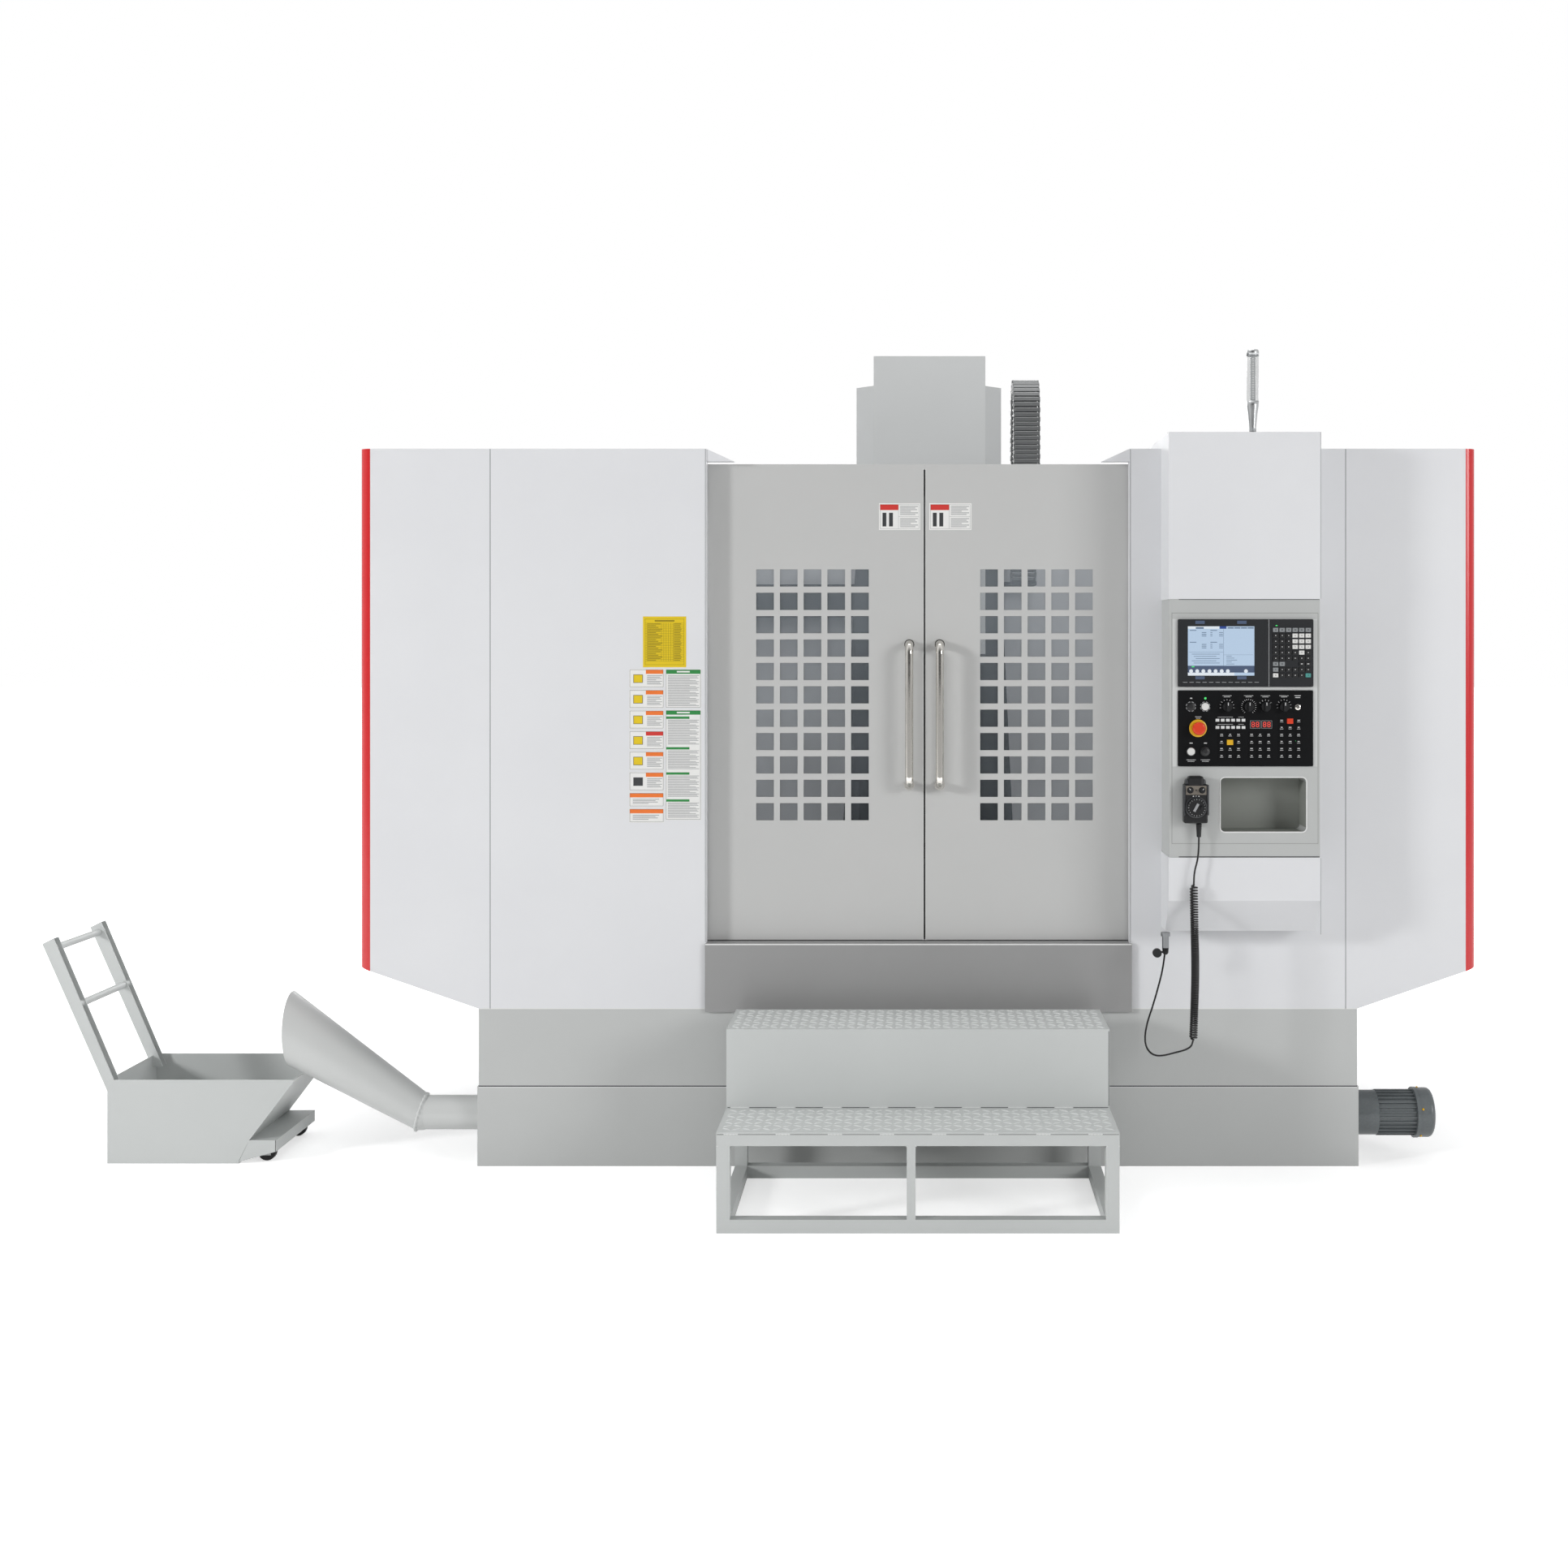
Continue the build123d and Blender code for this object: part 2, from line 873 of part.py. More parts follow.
def left_front_panel():
    face = block((-seam_half, -door_edge), (front, front + sheet), (pan_top, panel_top))
    back = front + panel_return
    seam = block((-seam_half, sheet - seam_half), (front, back), (pan_top, panel_top))
    edge = block((-door_edge - sheet, -door_edge), (front, back), (pan_top, panel_top))
    cap = block((-seam_half, -door_edge), (front, back), (panel_top - sheet, panel_top))
    door_line = door_top + slide_gap
    corner = [(-door_edge, panel_top), (gusset_long - door_edge, door_line), (-door_edge, door_line)]
    gusset = prism_y(corner, front + sheet, back)
    return face + [seam, edge, cap, gusset]


def make_front_panels():
    left = left_front_panel()
    return Compound([left, mirrored(left)])


def left_side_panel():
    wing_end = trim_radius - body_half
    corner = front + trim_radius
    floor_z = pan_top
    wing = block((wing_end, -seam_half - run_gap), (front, front + sheet), (floor_z, panel_top))
    seam_x = -seam_half - run_gap
    seam = block((seam_x - sheet, seam_x), (front, front + panel_return), (floor_z, panel_top))
    step = block((wing_end, wing_end + sheet), (front, corner + sheet), (floor_z, panel_top))
    shelf = block((-body_half, wing_end), (corner, corner + sheet), (floor_z, panel_top))
    wall = block((-body_half, sheet - body_half), (corner, rear_reach), (floor_z, panel_top))
    cap_x = (-body_half, sheet + panel_return - body_half)
    cap = block(cap_x, (corner, rear_reach), (panel_top - sheet, panel_top))
    wing_cap = block((wing_end, seam_x), (front, front + panel_return), (panel_top - sheet, panel_top))
    panel = wing + [seam, step, shelf, wall, cap, wing_cap]
    outside = -body_half - overrun
    slope = [(-pan_half, floor_z), (outside, floor_z + (body_half + overrun - pan_half) * wing_slope)]
    under = [*slope, (outside, floor_z - wing_rise), (-pan_half, floor_z - wing_rise)]
    panel -= prism_y(under, front - overrun, rear_reach + overrun)
    funnel = [
        (-pan_half, floor_z),
        (-body_half, floor_z + wing_rise),
        (-body_half, floor_z + wing_rise + base_sheet),
        (-pan_half, floor_z + base_sheet),
    ]
    return panel + prism_y(funnel, front + trim_radius, rear_reach)


def make_side_panels():
    left = left_side_panel()
    return Compound([left, mirrored(left)])


def make_corner_trims():
    centre = (trim_radius - body_half, front + trim_radius)
    tip = (centre[0], front)
    side = (-body_half, centre[1])
    edges = [
        Line(centre, tip),
        RadiusArc(tip, side, trim_radius),
        Line(side, centre),
    ]
    low = pan_top
    trim = extrude(Plane.XY.offset(low) * make_face(edges), panel_top - low)
    outside = -body_half - overrun
    inside = centre[0] + overrun
    cut = [
        (inside, pan_top + (-inside - pan_half) * wing_slope),
        (outside, pan_top + (-outside - pan_half) * wing_slope),
        (outside, low - overrun),
        (inside, low - overrun),
    ]
    trim -= prism_y(cut, front - overrun, front + trim_radius + overrun)
    return Compound([trim, mirrored(trim)])


def make_sill_panel():
    face = front - sill_proud
    outline = [
        (face, sill_low),
        (face, sill_top),
        (-sill_shelf, sill_top),
        (-sill_shelf, sill_top - sheet),
        (face + sheet, sill_top - sheet),
        (face + sheet, sill_low + sheet),
        (front, sill_low + sheet),
        (front, sill_low),
    ]
    lip = prism_x(outline, -sill_left, sill_right)
    shelf_edge = door_edge - run_gap
    for side, reach in ((-1, sill_left), (1, sill_right)):
        xs = sorted((side * shelf_edge, side * (reach + overrun)))
        lip -= block(xs, (front, -sill_shelf + overrun), (sill_low - overrun, sill_top + overrun))
    return lip


def make_door_header():
    back = door_back + run_gap
    beam = block(
        (-seam_half + sheet, seam_half - sheet), (back, back + header_thick), (header_low, header_top)
    )
    for side in (-1, 1):
        end = side * (seam_half - sheet)
        xs = sorted((end, end - side * header_bracket))
        beam += block(xs, (front + sheet, back + header_thick), (header_low, header_top))
    return beam


def make_rear_panel():
    ys = (rear_reach, rear_reach + sheet)
    sheet_wall = block((-body_half, body_half), ys, (pan_top, panel_top))
    under = [
        (-pan_half, pan_top),
        (-body_half - overrun, pan_top + (body_half + overrun - pan_half) * wing_slope),
        (-body_half - overrun, pan_top - overrun),
        (-pan_half, pan_top - overrun),
    ]
    corner = prism_y(under, rear_reach - overrun, rear_reach + overrun)
    sill_z = column_seat + slide_gap
    bed_side = bed_half + slide_gap
    base_side = column_base_half + slide_gap
    top_side = column_top_half + slide_gap
    gate = [
        (seat_x - bed_side, pan_top - overrun),
        (seat_x - bed_side, sill_z),
        (seat_x - base_side, sill_z),
        (seat_x - top_side, column_top),
        (seat_x + top_side, column_top),
        (seat_x + base_side, sill_z),
        (seat_x + bed_side, sill_z),
        (seat_x + bed_side, pan_top - overrun),
    ]
    sheet_wall -= prism_y(gate, rear_reach - overrun, rear_reach + overrun)
    return sheet_wall - corner - mirrored(corner)


def make_cabinet():
    ys = (rear_reach + sheet, rear_reach + sheet + cabinet_deep)
    outer = block((-cabinet_left, -cabinet_right), ys, (cabinet_low, cabinet_top))
    inner = block(
        (cabinet_sheet - cabinet_left, -cabinet_right - cabinet_sheet),
        (ys[0] + cabinet_sheet, ys[1] + overrun),
        (cabinet_low + cabinet_sheet, cabinet_top - cabinet_sheet),
    )
    door_y = (ys[1] + run_gap, ys[1] + run_gap + cabinet_door_thick)
    door = block((-cabinet_left, -cabinet_right), door_y, (cabinet_low, cabinet_top))
    hollow = block(
        (cabinet_sheet - cabinet_left, -cabinet_right - cabinet_sheet),
        (door_y[0] - overrun, door_y[1] - cabinet_sheet),
        (cabinet_low + cabinet_sheet, cabinet_top - cabinet_sheet),
    )
    door -= hollow
    vent_x = around(-(cabinet_left + cabinet_right) / 2, cabinet_vent_wide / 2)
    for place in range(cabinet_vent_count):
        low = cabinet_vent_low + place * cabinet_vent_pitch
        door -= block(vent_x, (door_y[0], door_y[1] + overrun), (low, low + cabinet_vent_tall))
    case = outer - inner
    hinge_x = -cabinet_left
    hinge_y = door_y[1]
    hinge_step = (cabinet_top - cabinet_low - 2 * hinge_inset) / (hinge_count - 1)
    for place in range(hinge_count):
        z = cabinet_low + hinge_inset + place * hinge_step
        case_z = (z, z + hinge_knuckle)
        case += block((hinge_x - sheet, hinge_x), (ys[1] - hinge_leaf, hinge_y), case_z)
        case += rod_z(*case_z, hinge_x, hinge_y, hinge_radius)
        door_z = (z - run_gap, z + hinge_knuckle + run_gap)
        door -= rod_z(*door_z, hinge_x, hinge_y, hinge_radius + run_gap)
        door -= block((hinge_x, hinge_x + run_gap), (ys[1], hinge_y), door_z)
        door += rod_z(z - run_gap - hinge_knuckle, z - run_gap, hinge_x, hinge_y, hinge_radius)
    return case, door


# Doors


def door_parts(side):
    near = door_split + side * run_gap
    far = door_split + side * door_width
    xs = sorted((near, far))
    leaf = block(xs, (door_front, door_back), (door_low, door_top))
    leaf -= block(
        (xs[0] + sheet, xs[1] - sheet),
        (door_front + sheet, door_back + overrun),
        (door_low + sheet, door_top - sheet),
    )
    lip_x = (xs[0] + sheet, xs[1] - sheet)
    leaf += block(lip_x, (door_back - sheet, door_back), (header_low, door_top - sheet))
    holes = []
    for col in range(window_cols):
        x = door_split + side * (window_from_split + hole_wide / 2 + col * hole_pitch_x)
        for row in range(window_rows):
            z = window_low + hole_tall / 2 + row * hole_pitch_z
            hole = block(
                around(x, hole_wide / 2),
                (door_front - overrun, door_front + 2 * sheet),
                around(z, hole_tall / 2),
            )
            holes.append(hole)
    leaf -= holes
    window_wide = (window_cols - 1) * hole_pitch_x + hole_wide
    window_tall = (window_rows - 1) * hole_pitch_z + hole_tall
    window_reach = window_from_split + window_wide
    window_x = sorted((door_split + side * window_from_split, door_split + side * window_reach))
    pane = block(
        (window_x[0] - pane_margin, window_x[1] + pane_margin),
        (door_front + sheet, door_front + sheet + pane_thick),
        (window_low - pane_margin, window_low + window_tall + pane_margin),
    )
    return leaf, pane


def make_handle(side):
    x = door_split + side * handle_from_split
    out = door_front - handle_stand
    points = [
        (x, door_front, handle_low),
        (x, out, handle_low),
        (x, out, handle_high),
        (x, door_front, handle_high),
    ]
    path = FilletPolyline(*points, radius=handle_bend)
    handle = sweep(Plane(points[0], z_dir=(0, -1, 0)) * Circle(handle_radius), path=path)
    for z in (handle_low, handle_high):
        handle += rod_y(door_front - handle_foot_long, door_front, x, z, handle_foot_radius)
    return handle


# Operator station


def make_station():
    xs = (station_left, station_right)
    hood = [
        (station_front, station_hood_low),
        (station_front, station_top_z),
        (-station_top_back, station_top_z),
        (-station_top_back, panel_top),
        (front, panel_top),
        (front, station_hood_low),
    ]
    top = prism_x(hood, *xs)
    top -= block(
        (xs[0] + sheet, xs[1] - sheet),
        (station_front + sheet, front + overrun),
        (station_hood_low + sheet, panel_top - sheet),
    )
    foot = [
        (station_front, station_foot_top),
        (station_front, station_foot_front_low),
        (station_front + station_foot_back_step, station_foot_low),
        (front, station_foot_low),
        (front, station_foot_top),
    ]
    base = prism_x(foot, *xs)
    base -= block(
        (xs[0] + sheet, xs[1] - sheet),
        (station_front + station_foot_back_step, front + overrun),
        (station_foot_low + sheet, station_foot_top - sheet),
    )
    return top, base


def make_panel_box():
    xs = (station_left + box_inset, station_right - box_inset)
    zs = (station_foot_top, station_hood_low)
    box = block(xs, (box_front, front), zs)
    hollow_z = (zs[0] + sheet, zs[1] - sheet)
    box -= block((xs[0] + sheet, xs[1] - sheet), (box_front + sheet, front + overrun), hollow_z)
    locker_x = (locker_left, locker_right)
    wall = block(
        (locker_x[0] - sheet, locker_x[1] + sheet),
        (box_front, box_front + locker_deep + sheet),
        (locker_low - sheet, locker_top + sheet),
    )
    mouth_place = Pos((locker_left + locker_right) / 2, (locker_low + locker_top) / 2)
    middle = Plane.XZ.offset(-box_front) * mouth_place
    mouth = RectangleRounded(locker_right - locker_left, locker_top - locker_low, locker_corner)
    pocket = extrude(middle * mouth, -locker_deep)
    return box + wall - pocket


def make_display_unit():
    face = box_front - unit_proud
    unit = block((unit_left, unit_right), (face, box_front), (unit_low, unit_top))
    unit = fillet(unit.edges().filter_by(Axis.Y), unit_corner)
    unit -= block((screen_left, screen_right), (face - overrun, face + screen_deep), (screen_low, screen_top))
    keys = []
    for col in range(key_cols):
        for row in range(key_rows):
            if row == key_gap_row and col in key_gap_cols:
                continue
            x = key_first_x + col * key_pitch_x
            z = key_first_z + row * key_pitch_z
            keys.append(block(around(x, key_wide / 2), (face - key_proud, face), around(z, key_tall / 2)))
    return unit + keys


def make_control_plate():
    face = box_front - plate_thick
    plate = block((unit_left, unit_right), (face, box_front), (plate_low, plate_top))
    plate = fillet(plate.edges().filter_by(Axis.Y), unit_corner)
    details = []
    for group, rows in enumerate(pad_group_rows):
        for col in range(pad_group_cols):
            x = pad_first_x + group * pad_group_pitch + col * pad_key_pitch_x
            for row in range(rows):
                z = pad_first_z + row * pad_key_pitch_z
                xs = around(x, pad_key_wide / 2)
                zs = around(z, pad_key_tall / 2)
                details.append(block(xs, (face - pad_key_proud, face), zs))
    for x in (push_left_x, push_right_x):
        for z in (knob_z, push_low_z):
            details.append(rod_y(face - push_reach, face, x, z, push_radius))
    details.append(rod_y(face - stop_ring_thick, face, stop_x, stop_z, stop_ring_radius))
    plate += details
    plate -= rod_y(face - overrun, box_front, stop_x, stop_z, stop_neck_radius + run_gap)
    for x in (mode_knob_x, feed_knob_x, rapid_knob_x, spindle_knob_x):
        plate -= rod_y(face - overrun, box_front, x, knob_z, knob_shaft_radius + run_gap)
    return plate


def make_stop_button():
    face = box_front - plate_thick
    head = rod_y(face - stop_reach, face - stop_reach + stop_head, stop_x, stop_z, stop_radius)
    head = fillet(head.edges().group_by(Axis.Y)[0], stop_round)
    neck_y = (face - stop_reach + stop_head, box_front - stop_travel)
    return head + rod_y(*neck_y, stop_x, stop_z, stop_neck_radius)


def make_knob(x):
    face = box_front - plate_thick
    skirt = rod_y(face - knob_reach, face - run_gap, x, knob_z, knob_radius)
    bar = block(
        around(x, knob_bar_wide / 2),
        (face - knob_reach - knob_bar_reach, face - knob_reach),
        around(knob_z, knob_radius),
    )
    shaft = rod_y(face - run_gap, box_front, x, knob_z, knob_shaft_radius)
    return skirt + [bar, shaft]


def make_pendant():
    face = box_front - pendant_thick
    middle = Plane.XZ.offset(-box_front) * Pos(
        (pendant_left + pendant_right) / 2, (pendant_low + pendant_top) / 2
    )
    shape = RectangleRounded(pendant_right - pendant_left, pendant_top - pendant_low, pendant_corner)
    body = extrude(middle * shape, pendant_thick)
    gland_z = (pendant_low - pendant_gland_long, pendant_low)
    body += rod_z(*gland_z, pendant_gland_x, cord_y, pendant_gland_radius)
    dial_x = (pendant_left + pendant_right) / 2
    for side in (-1, 1):
        body += rod_y(
            face - selector_reach, face, dial_x + side * selector_offset, selector_z, selector_radius
        )
    dial = rod_y(face - dial_thick, face - run_gap, dial_x, dial_z, dial_radius)
    grip_x = dial_x + dial_radius * dial_grip_x_share
    dial += rod_y(face - dial_thick - dial_grip_long, face - dial_thick, grip_x, dial_z, dial_grip_radius)
    return body, dial


def make_signal_lamp():
    low = station_top_z
    y = (station_front - station_top_back) * lamp_back_share
    lens_top = low + lamp_tall - lamp_cap_tall
    profile = [
        (0, low),
        (lamp_foot_radius, low),
        (lamp_foot_radius, low + lamp_foot_tall),
        (lamp_neck_radius, low + lamp_foot_tall),
        (lamp_neck_radius, low + lamp_neck_tall),
        (lamp_lens_radius, low + lamp_lens_low),
        (lamp_lens_radius, lens_top),
        (lamp_neck_radius, low + lamp_tall),
        (0, low + lamp_tall),
    ]
    lamp = revolve(Plane.XZ * Polygon(*profile, align=None), Axis.Z)
    return Pos(lamp_x, y, 0) * lamp


# Pendant cord


def tube(points, radius):
    corners = [Vector(*p) for p in points]
    radii = []
    for a, b, c in zip(corners, corners[1:], corners[2:]):
        turn = math.radians((b - a).get_angle(c - b))
        radii.append(cord_bend_share * min((b - a).length, (c - b).length) / math.tan(turn / 2))
    print("cord radii", [round(r) for r in radii])
    path = FilletPolyline(*points, radius=radii)
    return sweep(Plane(corners[0], z_dir=corners[1] - corners[0]) * Circle(radius), path=path)


def make_cord():
    start = pendant_low - pendant_gland_long
    lead = [
        (pendant_gland_x, cord_y, start),
        (pendant_gland_x, cord_y, 1085),
        (900, cord_y - 2, 1045),
        (889, cord_y - 3, 1008),
        (887, cord_y - 3, 966),
    ]
    coil = [lead[-1], (889, cord_y - 3, 840), (893, cord_y - 2, 700), (890, cord_y, 570), (886, cord_y, 466)]
    tail = [
        coil[-1],
        (880, cord_y + 1, 444),
        (858, cord_y + 3, 432),
        (828, cord_y + 6, 424),
        (796, cord_y + 10, 414),
        (763, cord_y + 16, 411),
        (740, cord_y + 22, 430),
        (733, cord_y + 30, 462),
        (741, cord_y + 38, 510),
        (762, cord_y + 48, 566),
        (783, cord_y + 56, 634),
        (799, cord_y + 66, 692),
        (plug_x, plug_y, station_foot_low - plug_long),
    ]
    socket = station_foot_low
    plug = rod_z(socket - plug_long, socket - plug_collar_long, plug_x, plug_y, plug_radius)
    plug += rod_z(socket - plug_collar_long, socket, plug_x, plug_y, plug_collar_radius)
    return tube(lead, cord_radius), tube(coil, coil_radius), tube(tail, cord_radius), plug


# Cable chain


def make_cable_chain():
    front_pitch = (chain_arch - chain_foot) / chain_links_front
    link_count_rear = round((chain_arch - chain_tail) / front_pitch)
    rear_pitch = (chain_arch - chain_tail) / link_count_rear
    arch_pitch = math.pi * chain_bend / chain_links_arch

    def link(pitch):
        wide = (chain_wide, chain_thick)
        outer = Box(*wide, pitch)
        lane = Box(chain_wide - 2 * chain_plate, chain_thick - 2 * chain_plate, pitch + overrun)
        gap = Box(chain_wide - 2 * chain_plate, chain_thick + overrun, pitch * (1 - chain_bar_share))
        return outer - lane - Pos(0, 0, pitch / 2) * gap - Pos(0, 0, -pitch / 2) * gap

    links = []
    for place in range(chain_links_front):
        z = chain_foot + (place + 0.5) * front_pitch
        links.append(Pos(chain_x, chain_front, z) * link(front_pitch))
    for place in range(link_count_rear):
        z = chain_tail + (place + 0.5) * rear_pitch
        links.append(Pos(chain_x, chain_front + 2 * chain_bend, z) * link(rear_pitch))
    for place in range(chain_links_arch):
        turn = math.pi * (place + 0.5) / chain_links_arch
        y = chain_front + chain_bend * (1 - math.cos(turn))
        z = chain_arch + chain_bend * math.sin(turn)
        links.append(Pos(chain_x, y, z) * Rot(-math.degrees(turn), 0, 0) * link(arch_pitch + chain_overlap))
    return links[0] + links[1:]


# Chip screw


def make_auger():
    ends = (-pipe_elbow, tank_half + gear_long / 2)
    shaft = rod_x(*ends, auger_y, auger_height, auger_shaft_radius)
    long = auger_pitch * auger_turns
    helix = Helix(auger_pitch, long, (auger_shaft_radius + auger_radius) / 2)
    blade = Rectangle(auger_radius - auger_shaft_radius + flight_thick, flight_thick)
    start = Plane(helix @ 0, x_dir=(1, 0, 0), z_dir=helix % 0)
    flight = sweep(start * blade, path=helix, is_frenet=True)
    placed = Pos(-long / 2, auger_y, auger_height) * Rot(0, 90, 0) * flight
    return shaft + placed


def make_chip_pipe():
    elbow = (-pipe_elbow, auger_y, auger_height)
    run = Vector(-chute_run, 0, chute_rise)

    def cone(thin):
        start = chute_start_radius - thin
        grow = (chute_end_radius - chute_start_radius) * chute_past_share
        length = run.length * chute_past_share
        shape = Cone(start, start + grow, length, align=(Align.CENTER, Align.CENTER, Align.MIN))
        return Plane(elbow, z_dir=run) * shape

    pipe = rod_x(-pipe_elbow, -tank_half, auger_y, auger_height, pipe_radius)
    ball = Pos(*elbow) * Sphere(chute_start_radius)
    solid = pipe + [ball, cone(0)]
    bore = rod_x(-pipe_elbow, -tank_half + overrun, auger_y, auger_height, pipe_radius - pipe_wall)
    solid -= bore
    solid -= Pos(*elbow) * Sphere(pipe_radius - pipe_wall)
    solid -= cone(pipe_wall)
    reach = chute_end_radius * chute_cut_share
    beyond = block(
        (-chute_end_x - reach, -chute_end_x),
        around(auger_y, reach),
        (-reach, auger_height + chute_rise + reach),
    )
    return solid - beyond


def make_gear_motor():
    start = tank_half
    gear = rod_x(start, start + gear_long, auger_y, auger_height, gear_radius)
    body_start = start + gear_long
    body_end = body_start + motor_body_long
    body = rod_x(body_start, body_end, auger_y, auger_height, motor_radius - fin_tall)
    fins = []
    for place in range(fin_count):
        fin = block(
            (body_start, body_end),
            around(0, fin_thick / 2),
            (motor_radius - 2 * fin_tall, motor_radius),
        )
        turned = Rot(360 * place / fin_count, 0, 0) * fin
        fins.append(Pos(0, auger_y, auger_height) * turned)
    cowl = rod_x(body_end, body_end + cowl_long, auger_y, auger_height, cowl_radius)
    cowl = fillet(cowl.edges().group_by(Axis.X)[-1], cowl_round)
    cowl += rod_x(body_end, body_end + cowl_band_long, auger_y, auger_height, cowl_radius + cowl_band_proud)
    terminal = block(
        (body_start + fin_tall, body_start + fin_tall + terminal_size),
        around(auger_y + motor_radius, terminal_tall / 2),
        around(auger_height, terminal_size / 2),
    )
    motor = gear + [body, *fins, cowl, terminal]
    shaft_x = (start - overrun, start + gear_long / 2 + run_gap)
    return motor - rod_x(*shaft_x, auger_y, auger_height, auger_shaft_radius + run_gap)


# Chip cart


def make_cart():
    ys = (-cart_front, -cart_back)
    outline = [
        (-cart_left, 0),
        (-cart_left, cart_top),
        (-cart_right, cart_top),
        (-cart_heel, cart_heel_z),
        (-cart_floor_right, cart_floor_low),
        (-cart_floor_right, 0),
    ]
    body = prism_y(outline, *ys)
    hollow = [
        (cart_sheet - cart_left, cart_sheet),
        (cart_sheet - cart_left, cart_top + overrun),
        (-cart_right + overrun - 2 * cart_sheet, cart_top + overrun),
        (-cart_right - 2 * cart_sheet, cart_top),
        (-cart_heel - 2 * cart_sheet, cart_heel_z),
        (-cart_floor_right - 2 * cart_sheet, cart_sheet),
    ]
    body -= prism_y(hollow, ys[0] + cart_sheet, ys[1] - cart_sheet)
    plate = block(
        (-cart_heel - cart_sheet, -cart_foot_right), ys, (cart_heel_z - 2 * cart_sheet, cart_heel_z)
    )
    lip = block(
        (-cart_foot_right - cart_sheet, -cart_foot_right), ys, (cart_heel_z - cart_foot_lip, cart_heel_z)
    )
    body += [plate, lip]
    run = upright_top_x - cart_left
    for y in (ys[0], ys[1] - upright_size):
        flat = [
            (-cart_left, cart_top - upright_size),
            (-upright_top_x, upright_top_z),
            (-upright_top_x + upright_size, upright_top_z + upright_size / 2),
            (-cart_left + upright_size, cart_top - upright_size),
        ]
        bar = prism_y(flat, y, y + upright_size)
        groove = prism_y(
            [(x + upright_wall, z) for x, z in flat], y + upright_wall, y + upright_size - upright_wall
        )
        body += bar - groove
    for share in (crossbar_mid_share, crossbar_top_share):
        x = -cart_left - run * share + upright_size / 2
        z = cart_top + (upright_top_z - cart_top) * share
        body += rod_y(ys[0], ys[1], x, z, crossbar_radius)
    for y in (ys[0] + wheel_inset, ys[1] - wheel_inset):
        for side in (-1, 1):
            cheek = y + side * (wheel_wide / 2 + fork_gap + fork_thick / 2)
            body += block(
                around(-wheel_x, wheel_radius / 2),
                around(cheek, fork_thick / 2),
                (wheel_radius - 2 * axle_radius, cart_heel_z - cart_sheet),
            )
        body += rod_y(*around(y, wheel_wide / 2 + fork_gap + fork_thick), -wheel_x, wheel_radius, axle_radius)
    return body


def make_wheel(row):
    y = (-cart_front + wheel_inset, -cart_back - wheel_inset)[row]
    wheel = rod_y(*around(y, wheel_wide / 2), -wheel_x, wheel_radius, wheel_radius)
    wheel = fillet(wheel.edges(), wheel_wide / 6)
    return wheel - rod_y(*around(y, wheel_wide), -wheel_x, wheel_radius, axle_radius + run_gap)


# Operator step


def make_operator_step():
    wide = (-step_half, step_half)
    low_front = (-step_front, -step_front + step_bar)
    mid = (-step_riser, -step_riser + step_bar)
    back = (-step_back - step_bar, -step_back)
    legs = []
    for ys in (low_front, back):
        legs.append(block(wide, ys, (0, step_bar)))
    for side in (-1, 1):
        xs = sorted((side * step_half, side * (step_half - step_bar)))
        legs.append(block(xs, (-step_front, -step_back), (0, step_bar)))
        legs.append(block(xs, low_front, (0, step_low_top)))
        legs.append(block(xs, back, (0, step_high_top)))
        legs.append(block(xs, (-step_front, -step_back), (step_low_top - step_bar, step_low_top)))
        skirt = sorted((side * step_half, side * (step_half - step_skirt)))
        legs.append(block(skirt, (-step_riser, -step_back), (step_low_top - step_bar, step_high_top)))
    centre = around(-step_post_left, step_post_half)
    legs.append(block(centre, low_front, (0, step_low_top)))
    legs.append(block(wide, low_front, (step_low_top - step_bar, step_low_top)))
    legs.append(block(wide, back, (step_low_top - step_bar, step_low_top)))
    legs.append(block(wide, (-step_front, -step_riser + step_bar), (step_low_top - step_plate, step_low_top)))
    legs.append(block(wide, (-step_riser, -step_back), (step_high_top - step_plate, step_high_top)))
    legs.append(
        block(wide, (-step_riser, -step_riser + step_skirt), (step_low_top - step_bar, step_high_top))
    )
    return legs[0] + legs[1:]


